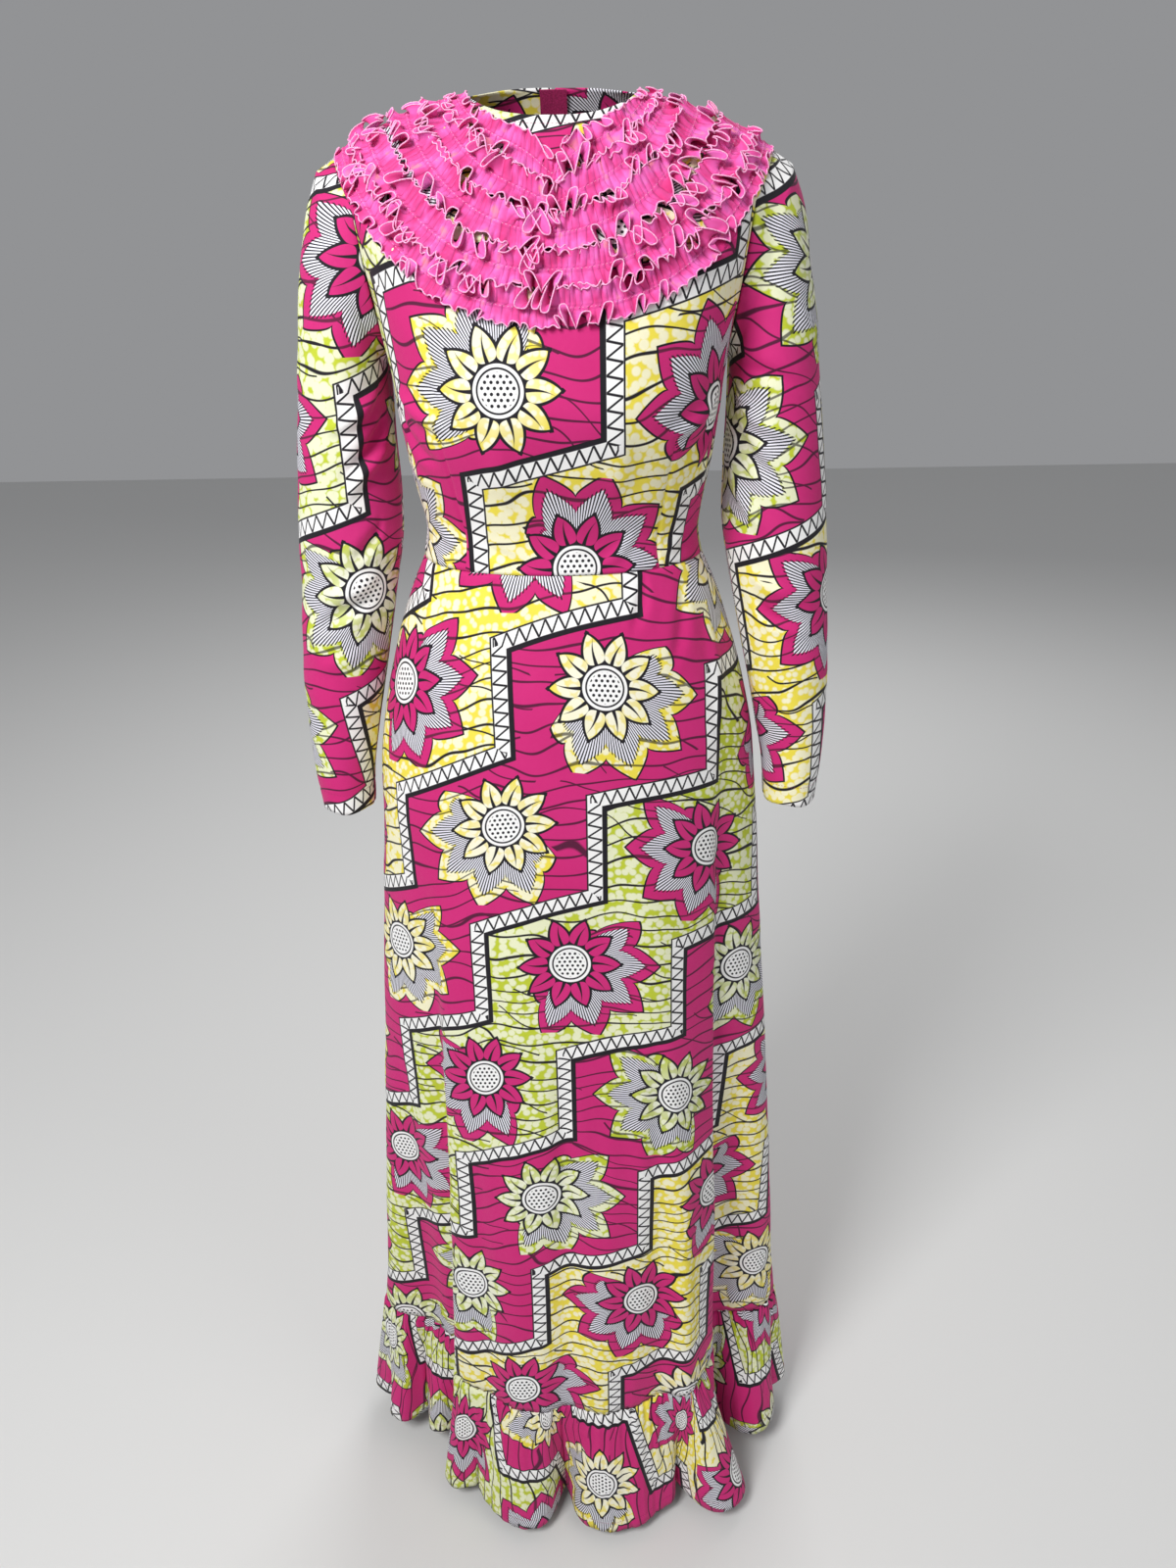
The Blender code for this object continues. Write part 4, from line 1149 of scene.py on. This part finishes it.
sewing = [
    stitches(f"{name}_stitching", [grid_row(name, row_at_height(name, CUFF_Z + CUFF_HEM))])
    for name in ("sleeve_left_cloth", "sleeve_right_cloth")
]
flounces = ("flounce_front_cloth", "flounce_back_cloth")
sewing.append(stitches("hem_stitching", [grid_row(name, HEM_STITCH_ROW) for name in flounces]))
bodices = ("bodice_front_cloth", "bodice_back_left_cloth", "bodice_back_right_cloth")
halves = [(part, hand, side) for hand, side in (("left", 1), ("right", -1)) for part in ("bodice", "skirt")]
zip_rows = [beside_zip(f"{part}_back_{hand}_cloth", side) for part, hand, side in halves]
neck_rows = [grid_row(name, NECK_STITCH_ROW) for name in bodices]
sewing.append(stitches("neck_and_zip_stitching", neck_rows + zip_rows))
gathering = stitches("ruffle_stitching", [grid_row(piece.name, RUFFLE_ROWS // 2) for piece, _ in ruffles])

# %% [markdown]
# The cotton is a wax print: stepped white bands cut the cloth into coloured fields, and each field carries
# one big flower in each step. A repeat like this needs no picture. It is drawn from distances, in millimetres
# of flat cloth, in one node group, so it stays sharp at any size. Writing sums as node links is slow to read,
# so a small class lets the group be written as ordinary arithmetic: each operation adds its Math node.

# %% Arithmetic that builds nodes
def operator(kind):
    return lambda self, other: math_node(kind, self, other)


class Flow:
    """A number that varies over the cloth: each operation on it adds one Math node to the open tree."""

    tree = None

    def __init__(self, socket):
        self.socket = socket

    __add__ = __radd__ = operator("ADD")
    __mul__ = __rmul__ = operator("MULTIPLY")
    __sub__, __truediv__, __pow__ = operator("SUBTRACT"), operator("DIVIDE"), operator("POWER")
    __gt__, __lt__ = operator("GREATER_THAN"), operator("LESS_THAN")

    def __rsub__(self, other):
        return math_node("SUBTRACT", other, self)


def plug(socket, value):
    """A number or colour is set on the socket, and anything that varies is linked to it."""
    if isinstance(value, Flow):
        value = value.socket
    if isinstance(value, bpy.types.NodeSocket):
        Flow.tree.links.new(value, socket)
    else:
        socket.default_value = value


def add_node(kind, inputs=(), **settings):
    """A node of the open tree, with these settings and with a value or a link for each input named."""
    node = Flow.tree.nodes.new(f"ShaderNode{kind}")
    for setting, value in settings.items():
        setattr(node, setting, value)
    for name, value in dict(inputs).items():
        plug(node.inputs[name], value)
    return node


def math_node(operation, *values, clamp=False):
    return Flow(add_node("Math", enumerate(values), operation=operation, use_clamp=clamp).outputs[0])


least, most, size_of, whole, rest_of = (
    partial(math_node, kind) for kind in ("MINIMUM", "MAXIMUM", "ABSOLUTE", "FLOOR", "FRACT")
)


def ramp_up(value, slope, start):
    """A straight rise that stays between 0 and 1."""
    return math_node("MULTIPLY_ADD", value, slope, start, clamp=True)


def choose(mask, there, elsewhere):
    return elsewhere + mask * (there - elsewhere)


def inside(distance, soft=0.5):
    """1 where a distance in millimetres is above zero and 0 where it is below, with a soft printed edge."""
    return ramp_up(distance, 1 / soft, 0.5)


def painted(mask, colour, under):
    """A colour laid over another where the mask is 1."""
    under, colour = ((*paint, 1.0) if isinstance(paint, tuple) else paint for paint in (under, colour))
    mix = add_node("Mix", {"Factor": mask, 6: under, 7: colour}, data_type="RGBA", clamp_factor=True)
    return mix.outputs[2]


def cut_noise(cut, scale, detail):
    return add_node("TexNoise", {"Scale": scale, "Detail": detail, "Vector": cut}, noise_dimensions="2D")


def new_group(name, inputs, outputs):
    """An empty node group with named sockets, opened for the arithmetic above."""
    tree = bpy.data.node_groups.new(name, "ShaderNodeTree")
    for in_out, sockets in (("INPUT", inputs), ("OUTPUT", outputs)):
        for socket_name, kind in sockets.items():
            tree.interface.new_socket(socket_name, in_out=in_out, socket_type=f"NodeSocket{kind}")
    Flow.tree = tree
    return tree, tree.nodes.new("NodeGroupInput"), tree.nodes.new("NodeGroupOutput")


def srgb(red, green, blue):
    """A colour as a screen shows it, from 0 to 255, made linear."""
    parts = [c / 255 for c in (red, green, blue)]
    return tuple(c / 12.92 if c <= 0.04045 else ((c + 0.055) / 1.055) ** 2.4 for c in parts)


# %% [markdown]
# A stepped line goes down, then slants away to the left, again and again. Two lattice vectors place its
# copies: one to the next line on the right, one to the next step of the same line. The distance to such a
# line is the smaller of two simple distances, to an upright part and to a slanting part, and that is all a
# band needs: white between two dark edges, with a zigzag placed by how far along the line it is.

# %% Stepped bands
SLANT = 0.26
BAND_HALF, BAND_MIDDLE = 6.6, -1.6
THIN_LINE, THICK_LINE = 1.6, 4.9
TREAD = -NEXT_STEP[0]
RISE = NEXT_STEP[1] + SLANT * NEXT_STEP[0]
CELL_AREA = NEXT_LINE[0] * NEXT_STEP[1] - NEXT_STEP[0] * NEXT_LINE[1]
FLOWER_PLACE = (100.0, 53.0)
ZIGZAG, ZIGZAG_SLANTING = 12.4, 11.3

INK = srgb(16, 11, 22)
WINE = srgb(84, 6, 52)
WHITE = srgb(244, 243, 242)
LILAC = srgb(238, 237, 246)
MAGENTA = srgb(200, 24, 110)
MAGENTA_PALE = srgb(212, 46, 130)
YELLOW = srgb(238, 220, 74)
YELLOW_PALE = srgb(246, 242, 212)
LIME = srgb(190, 202, 50)
LIME_PALE = srgb(236, 238, 206)


def stepped_line(u, v):
    """How far a point is to the right of a stepped line through the origin, and its place along the line."""
    w = v + u * SLANT
    step = whole(w / RISE)
    a = u + step * TREAD
    b = w - step * RISE
    to_right = least(a, most(b, a - TREAD))
    to_left = least(0 - a, most(RISE - b, 0 - a - TREAD))
    distance = choose(a > 0, to_right, 0 - to_left)
    slanting = size_of(distance) < size_of(a) - 0.01
    return distance, choose(slanting, u * (ZIGZAG / ZIGZAG_SLANTING), w)


# %% [markdown]
# The flower is one drawing in polar coordinates: the distance from its eye and the angle round it. Ten leaf
# petals share one outline formula, because the angle is folded into a single petal. A second, larger ring of
# petals shows on one side only, since its radius swells towards that side. Each flower's side differs.

# %% Flower
PETALS = 10
EYE_DISC, EYE_RING, EYE_EDGE, CORE_EDGE = 15.7, 17.3, 19.9, 24.6
DOT, DOT_ROW, DOT_PITCH, DOTTED = 1.35, 4.3, 5.0, 14.0
LEAF_START, LEAF_END, LEAF_WIDTH = 21.5, 48.5, 20.8
HATCH_LINES, HATCH_RIM = 116, 15.6
PETAL_NEAR, PETAL_FAR = 25, 63
SIDE_REACH = 16.0
SIDE_SWING, SIDE_CHANCE = math.radians(52), math.radians(36)


def flower(x, y, side_angle):
    """Masks of one flower's parts at a point seen from its eye."""
    radius = math_node("SQRT", x * x + y * y)
    angle = math_node("ARCTAN2", y, x)
    fold = rest_of(angle * (PETALS / (2 * math.pi)) + 0.5) - 0.5
    off = size_of(fold)
    arc = radius * (2 * math.pi / PETALS)
    share = ramp_up(radius, 1 / (LEAF_END - LEAF_START), -LEAF_START / (LEAF_END - LEAF_START))
    leaf_edge = (share**0.4) * ((1 - share) ** 0.85) * LEAF_WIDTH - off * arc
    leaf = inside(leaf_edge - 0.6)
    leaf_ink = inside(leaf_edge + 2.3) * inside(LEAF_END + 3.6 - radius - off * arc)
    bend = fold + 0.05 - share * share * 0.26
    vein = inside(1.7 - share * 2.1 - size_of(bend) * arc)
    toward = math_node("COSINE", angle - side_angle)
    swell = math_node("SMOOTH_MIN", most(toward * 1.25 + 0.625, 0.0), 1.0, 0.25)
    tip = swell * PETAL_FAR + PETAL_NEAR
    crest = 1 - off * 2
    rim_edge = tip * ((crest**0.62) * 0.18 + (crest**1.8) * 0.09 + 0.73) - radius
    petal = inside(rim_edge - 1.6)
    petal_ink = inside(rim_edge + 0.7)
    hatch = inside(rim_edge - HATCH_RIM)
    lines = rest_of(angle * (HATCH_LINES / (2 * math.pi)) + fold * 3)
    hatch_line = inside((0.46 - lines) * 2.8) * inside(rim_edge - 12.8)
    row = whole(y / DOT_ROW)
    dot_x = (rest_of(x / DOT_PITCH + row * 0.5) - 0.5) * DOT_PITCH
    dot_y = (rest_of(y / DOT_ROW) - 0.5) * DOT_ROW
    dot = inside(DOT - math_node("SQRT", dot_x * dot_x + dot_y * dot_y)) * inside(DOTTED - radius)
    return radius, share, leaf, leaf_ink, vein, petal, petal_ink, hatch, hatch_line, dot


# %% [markdown]
# The fields are crossed by fine wavy veins that run mostly sideways and join at sharp angles. Two families of
# wavy lines, bent by the same noise, give that: one everywhere, and one only here and there. Wax that cracked
# and bled in the dye leaves pale bubbles on the yellow and the lime. The magenta's tint only wanders slowly.

# %% Crackle veins and bubbles
VEIN_PITCH, SECOND_VEIN_PITCH = 17.5, 33.0
VEIN_HALF, SECOND_VEIN_HALF = 1.02, 0.95


def crackle(cut, u, v):
    """Masks of the veins and of the pale bubbles, and a slow noise that goes with them."""
    wander = cut_noise(cut, scale=11.0, detail=1.0)
    split = add_node("SeparateColor", {0: wander.outputs["Color"]})
    first, second, third = (Flow(split.outputs[k]) for k in range(3))
    run_a = rest_of((v + u * 0.06) / VEIN_PITCH + first * 2.6)
    run_b = rest_of((v - u * 0.34) / SECOND_VEIN_PITCH + second * 2.2)
    vein_a = inside(VEIN_HALF - size_of(run_a - 0.5) * VEIN_PITCH, 0.6)
    vein_b = inside(SECOND_VEIN_HALF - size_of(run_b - 0.5) * SECOND_VEIN_PITCH, 0.6) * (third > 0.50)
    veins = most(vein_a, vein_b)
    cells = {"Scale": 135.0, "Vector": cut}
    bubbles = add_node("TexVoronoi", cells, voronoi_dimensions="2D", feature="F1")
    pale = inside(0.47 - Flow(bubbles.outputs["Distance"]) + (second - 0.5) * 0.7, 0.20) * 0.9
    return veins, pale, third


# %% [markdown]
# The whole print is layers, each painted over the last: the ground with its veins, the side petals with their
# hatching, the ten leaves, the eye with its dots, and the bands last, which hide what reaches under them. A
# flower belongs to the field on its own side of a line, so each field can have its own colours.

# %% The wax print
ZIGZAG_HALF = 1.35


def wax_print_group():
    tree, given, result = new_group("wax_print", {"Cut": "Vector"}, {"Color": "Color", "Ink": "Float"})
    parts = add_node("SeparateXYZ", {0: given.outputs["Cut"]})
    u, v = (Flow(parts.outputs[k]) * 1000 for k in (0, 1))
    alpha = (u * NEXT_STEP[1] - v * NEXT_STEP[0]) / CELL_AREA
    beta = (v * NEXT_LINE[0] - u * NEXT_LINE[1]) / CELL_AREA
    line = whole(alpha)
    near, near_along = stepped_line(u - line * NEXT_LINE[0], v - line * NEXT_LINE[1])
    far, far_along = stepped_line(u - (line + 1) * NEXT_LINE[0], v - (line + 1) * NEXT_LINE[1])
    strip = line + (far > 0) - (near < 0)
    use_far = size_of(far) < size_of(near)
    edge = choose(use_far, far, near)
    along = choose(use_far, far_along, near_along)
    kind = math_node("FLOORED_MODULO", strip, 4.0)

    place_a = (FLOWER_PLACE[0] * NEXT_STEP[1] - FLOWER_PLACE[1] * NEXT_STEP[0]) / CELL_AREA
    place_b = (FLOWER_PLACE[1] * NEXT_LINE[0] - FLOWER_PLACE[0] * NEXT_LINE[1]) / CELL_AREA
    cell_a = whole(alpha - (place_a - 0.5))
    cell_b = whole(beta - (place_b - 0.5))
    x = u - (cell_a + place_a) * NEXT_LINE[0] - (cell_b + place_b) * NEXT_STEP[0]
    y = v - (cell_a + place_a) * NEXT_LINE[1] - (cell_b + place_b) * NEXT_STEP[1]
    cell = add_node("CombineXYZ", {0: cell_a, 1: cell_b})
    chance = add_node("TexWhiteNoise", {"Vector": cell.outputs[0]}, noise_dimensions="2D")
    to_left = rest_of(cell_b * 0.5) * 4 - 1
    side_angle = to_left * SIDE_SWING + (Flow(chance.outputs["Value"]) - 0.5) * SIDE_CHANCE + math.pi / 2
    x = x + math_node("COSINE", side_angle) * SIDE_REACH
    y = y + math_node("SINE", side_angle) * SIDE_REACH
    radius, share, leaf, leaf_ink, vein, petal, petal_ink, hatch, hatch_line, dot = flower(x, y, side_angle)
    own = size_of(cell_a - strip) < 0.5

    veins, pale, slow = crackle(given.outputs["Cut"], u, v)
    is_yellow = size_of(kind - 3) < 0.5
    is_lime = size_of(kind - 1) < 0.5
    is_first = size_of(kind) < 0.5
    is_third = size_of(kind - 2) < 0.5
    yellow = painted(pale, YELLOW_PALE, YELLOW)
    lime = painted(pale, LIME_PALE, LIME)
    magenta = painted(slow * 0.6, MAGENTA_PALE, MAGENTA)
    ground = painted(is_yellow, yellow, painted(is_lime, lime, magenta))
    petals = painted(is_first, yellow, painted(is_third, lime, magenta))
    vein_ink = painted(most(is_yellow, is_lime), INK, WINE)

    colour = painted(veins, vein_ink, ground)
    colour = painted(petal_ink * own, INK, colour)
    rim = painted(veins * 0.8, INK, petals)
    colour = painted(petal * own, rim, colour)
    colour = painted(hatch * own, LILAC, colour)
    colour = painted(hatch_line * own, INK, colour)
    core = most(leaf_ink, inside(CORE_EDGE - radius)) * own
    colour = painted(core, INK, colour)
    pale_base = (1 - share) * 0.45 * size_of(is_first + is_third)
    bright = painted(pale_base, WHITE, petals)
    colour = painted(leaf * own, bright, colour)
    colour = painted(vein * own, INK, colour)
    ring = inside(EYE_EDGE - radius) * inside(radius - EYE_RING)
    colour = painted(most(ring, inside(EYE_DISC - radius)) * own, WHITE, colour)
    colour = painted(dot * own, INK, colour)

    swing = size_of(rest_of(along / ZIGZAG) - 0.5) * 4 - 1
    off_zigzag = size_of((edge - BAND_MIDDLE) / BAND_HALF - swing)
    zigzag = inside(ZIGZAG_HALF - off_zigzag * BAND_HALF * 0.62, 0.7)
    band = inside(edge - BAND_MIDDLE + BAND_HALF + THIN_LINE)
    band = band * inside(BAND_MIDDLE + BAND_HALF + THICK_LINE - edge)
    white = inside(BAND_HALF - size_of(edge - BAND_MIDDLE))
    colour = painted(band, INK, colour)
    colour = painted(white, WHITE, colour)
    colour = painted(white * zigzag, INK, colour)
    plug(result.inputs["Color"], colour)
    plug(result.inputs["Ink"], most(band - white, veins))
    return tree


wax_print = wax_print_group()
print("print group:", len(wax_print.nodes), "nodes")

# %% [markdown]
# One weave group serves every cloth here: two sets of threads that cross, as fine as the real yarn, with a
# little unevenness. It gives a height for a Bump node and a mask for the roughness.

# %% Weave
def weave_group():
    sockets = {"Cut": "Vector", "Threads": "Float"}, {"Height": "Float", "Mask": "Float"}
    tree, given, result = new_group("plain_weave", *sockets)
    parts = add_node("SeparateXYZ", {0: given.outputs["Cut"]})
    threads = Flow(given.outputs["Threads"])
    warp, weft = (math_node("SINE", Flow(parts.outputs[k]) * threads) for k in (0, 1))
    slub = Flow(cut_noise(given.outputs["Cut"], scale=240.0, detail=2.0).outputs["Fac"])
    plug(result.inputs["Height"], warp * weft * 0.35 + slub)
    plug(result.inputs["Mask"], slub)
    return tree


weave = weave_group()


def fill(shader, **values):
    """Numbers and links for a shader's inputs, whose names are written here with underscores."""
    for name, value in values.items():
        plug(shader.inputs[name.replace("_", " ")], value)


def new_material(name):
    """A material with its Principled shader, opened for the nodes that follow."""
    material = bpy.data.materials.new(name)
    material.use_nodes = True
    Flow.tree = material.node_tree
    return material, Flow.tree.nodes["Principled BSDF"]


def cloth_material(name, thread_pitch, bump_height, roughness):
    """A material with the weave on its flat cut; its Base Color is still to be filled."""
    material, shader = new_material(name)
    cut = add_node("UVMap", uv_map="flat_cut")
    woven = {"Threads": 2 * math.pi / thread_pitch, "Cut": cut.outputs[0]}
    yarn = add_node("Group", woven, node_tree=weave)
    bumps = {"Strength": 0.5, "Distance": bump_height, "Height": yarn.outputs["Height"]}
    bump = add_node("Bump", bumps)
    spread = {"To Min": roughness - 0.07, "To Max": roughness + 0.07, "Value": yarn.outputs["Mask"]}
    rough = add_node("MapRange", spread)
    fill(shader, Normal=bump.outputs[0], Roughness=rough.outputs[0])
    fill(shader, Sheen_Weight=0.06, Sheen_Roughness=0.5, Specular_IOR_Level=0.35)
    return material, shader, cut


def dress_in(piece, material):
    piece.data.materials.clear()
    piece.data.materials.append(material)


printed_cotton, shader, _ = cloth_material("printed_cotton", 0.00062, 0.00022, 0.72)
drawn = add_node("Group", node_tree=wax_print)
plug(drawn.inputs["Cut"], add_node("UVMap", uv_map="on_print").outputs[0])
fill(shader, Base_Color=drawn.outputs["Color"])
PRINTED = ("bodice_", "skirt_", "sleeve_", "flounce_")
for piece in bpy.context.scene.objects:
    if piece.name.startswith(PRINTED) and piece.name.endswith("_cloth"):
        dress_in(piece, printed_cotton)
        print(piece.name, "in", printed_cotton.name)

# %% [markdown]
# The ruffles are a thin, soft pink cloth. A slow noise shifts its tint between a deep pink and a lighter,
# bluer one.
# Light and shade are painted into that colour: each pleat is painted lighter on one side, as if lit from
# there, its valley gets painted shade, and a painted shadow runs beside the stitched middle. The rolled edge
# is wound with pale pink thread, and is the lightest line there.

# %% Ruffle cloth and rolled edges
PINK = srgb(226, 72, 150)
PINK_LIGHT = srgb(230, 104, 186)
PINK_DEEP = srgb(206, 46, 118)
# The next colour is painted shade, for the pleats' valleys and beside the stitched middle
PINK_PAINTED_SHADE = srgb(150, 26, 92)
PEACH = srgb(244, 160, 130)
THREAD_PINK, THREAD_PALE = srgb(238, 136, 192), srgb(250, 190, 222)


def ramp_of(value, *stops):
    """A colour that follows a value through these stops, each a place from 0 to 1 and its colour."""
    ramp = add_node("ValToRGB")
    elements = ramp.color_ramp.elements
    while len(elements) < len(stops):
        elements.new(0.5)
    for element, (position, colour) in zip(elements, stops):
        element.position = position
        element.color = (*colour, 1)
    plug(ramp.inputs["Fac"], value)
    return ramp.outputs["Color"]


pink_cloth, shader, cut = cloth_material("pink_voile", 0.0006, 0.00015, 0.78)
patches = cut_noise(cut.outputs[0], scale=45.0, detail=3.0).outputs["Fac"]
colour = ramp_of(patches, (0.36, PINK_DEEP), (0.50, PINK), (0.64, PINK_LIGHT))
pleats = add_node("UVMap", uv_map="pleats")
parts = add_node("SeparateXYZ", {0: pleats.outputs[0]})
pleat_count, from_middle = Flow(parts.outputs[0]), size_of(Flow(parts.outputs[1]))
pleat_valley_shade = ramp_up(size_of(rest_of(pleat_count + 0.5) - 0.5), -9.0, 1.0)
# Painted highlight: each pleat is painted lighter towards one side, as if lit from that side
colour = painted(rest_of(pleat_count) * 0.40, PINK_LIGHT, colour)
# Painted shade: the valley of each pleat is darkened, less towards the strip's borders
colour = painted(pleat_valley_shade * (0.75 - from_middle * 0.45), PINK_PAINTED_SHADE, colour)
# Painted shadow: a darker line on each side of the stitched middle, where the raised casing would shade the
# cloth
casing_shadow = ramp_up(size_of(from_middle - 0.11), -14.0, 1.0)
colour = painted(casing_shadow * 0.28, PINK_PAINTED_SHADE, colour)
colour = painted(ramp_up(patches, 9.0, -5.9) * 0.5, PEACH, colour)
fill(shader, Base_Color=colour)
for piece, _ in ruffles:
    dress_in(piece, pink_cloth)

rolled_thread, shader = new_material("pale_pink_thread")
place = add_node("TexCoord")
twist = add_node("TexNoise", {"Scale": 900.0, "Vector": place.outputs["Object"]})
wound = ramp_of(twist.outputs["Fac"], (0.35, THREAD_PINK), (0.65, THREAD_PALE))
fill(shader, Base_Color=wound, Roughness=0.8)
for edge in [*edges, gathering]:
    dress_in(edge, rolled_thread)
print("ruffles in", pink_cloth.name, "with edges in", rolled_thread.name)

# %% [markdown]
# The sewing thread is a twisted polyester, a shade darker than the magenta of the print. The zip's tape is
# woven in fine slanting ribs. Its metal is brushed brass: a noise stretched along the slider gives it streaks
# that are brighter and smoother than the rest.

# %% Thread, zip tape and brass
THREAD_DARK, THREAD_LIGHT = srgb(122, 14, 66), srgb(176, 44, 106)
TAPE_DARK, TAPE_LIGHT = srgb(132, 16, 70), srgb(176, 34, 98)
BRASS_DARK, BRASS_LIGHT = (0.52, 0.36, 0.15), (0.83, 0.65, 0.35)
RIB_WIDTH, RIB_SLANT, RIB_PITCH = 0.0018, 0.0016, 0.0009


def two_tone(name, dark, light, roughness, scale, stretch=(1, 1, 1), metallic=0.0):
    """A material whose colour and height follow one noise on Object coordinates, stretched on its grain."""
    material, shader = new_material(name)
    place = add_node("TexCoord").outputs["Object"]
    grain = add_node("Mapping", {"Scale": stretch, "Vector": place})
    noise = add_node("TexNoise", {"Scale": scale, "Detail": 3.0, "Vector": grain.outputs[0]})
    tone = ramp_up(noise.outputs["Fac"], 2.4, -0.7)
    fill(shader, Base_Color=painted(tone, light, dark), Roughness=tone * -0.16 + (roughness + 0.08))
    bump = add_node("Bump", {"Strength": 0.4, "Distance": 0.0001, "Height": tone})
    fill(shader, Normal=bump.outputs[0], Metallic=metallic)
    return material, place, bump


sewing_thread, *_ = two_tone("sewing_thread", THREAD_DARK, THREAD_LIGHT, 0.6, 1400.0)
for piece in sewing:
    dress_in(piece, sewing_thread)

brass, *_ = two_tone("brushed_brass", BRASS_DARK, BRASS_LIGHT, 0.34, 900.0, (1, 1, 0.06), metallic=1.0)
dress_in(zip_teeth, brass)
for node in ("zip_slider", "zip_pull_tab"):
    for slot in frame["nodes"][node].material_slots:
        slot.material = brass

zip_tape_cloth, place, bump = two_tone("ribbed_zip_tape", TAPE_DARK, TAPE_LIGHT, 0.75, 700.0)
parts = add_node("SeparateXYZ", {0: place})
across, down = Flow(parts.outputs[0]), Flow(parts.outputs[2])
herringbone = size_of(rest_of(across / RIB_WIDTH) - 0.5) * RIB_SLANT
ribs = math_node("SINE", (down + herringbone) * (2 * math.pi / RIB_PITCH))
plug(bump.inputs["Height"], ribs * 0.5 + 0.5)
for slot in frame["nodes"]["zip_tape"].material_slots:
    slot.material = zip_tape_cloth
print("sewing, teeth and zip are finished")

# %% [markdown]
# Daylight from a big soft box above and in front keeps the colours of a printed cotton even, and a weaker one
# from each side shows its folds. The floor and the world are plain and pale.

# %% Floor and light
FLOOR_Z = -1.50
bpy.ops.mesh.primitive_plane_add(size=12, location=(0, 0, FLOOR_Z))
floor = bpy.context.object
floor.name = "studio_floor"
paint, shader = new_material("studio_paint")
fill(shader, Base_Color=(0.70, 0.70, 0.69, 1), Roughness=0.9)
floor.data.materials.append(paint)
world = bpy.data.worlds.new("studio_world")
bpy.context.scene.world = world
world.use_nodes = True
fill(world.node_tree.nodes["Background"], Color=(0.96, 0.97, 1.0, 1), Strength=0.30)
bpy.context.scene.view_settings.view_transform = "Standard"


def soft_box(name, place, target, size, power):
    data = bpy.data.lights.new(name, "AREA")
    data.shape = "RECTANGLE"
    data.size, data.size_y = size
    data.energy = power
    light = new_object(name, data)
    aim = (Vector(target) - Vector(place)).to_track_quat("-Z", "Y")
    light.matrix_world = Matrix.Translation(place) @ aim.to_matrix().to_4x4()


soft_box("key_light", (-1.0, -1.45, 1.05), (0, 0, -0.45), (0.8, 0.9), 56)
soft_box("fill_light", (2.2, -1.6, 0.5), (0, 0, -0.5), (1.4, 1.8), 11)
soft_box("back_light", (0.6, 2.4, 1.2), (0, 0, -0.6), (1.8, 1.8), 40)
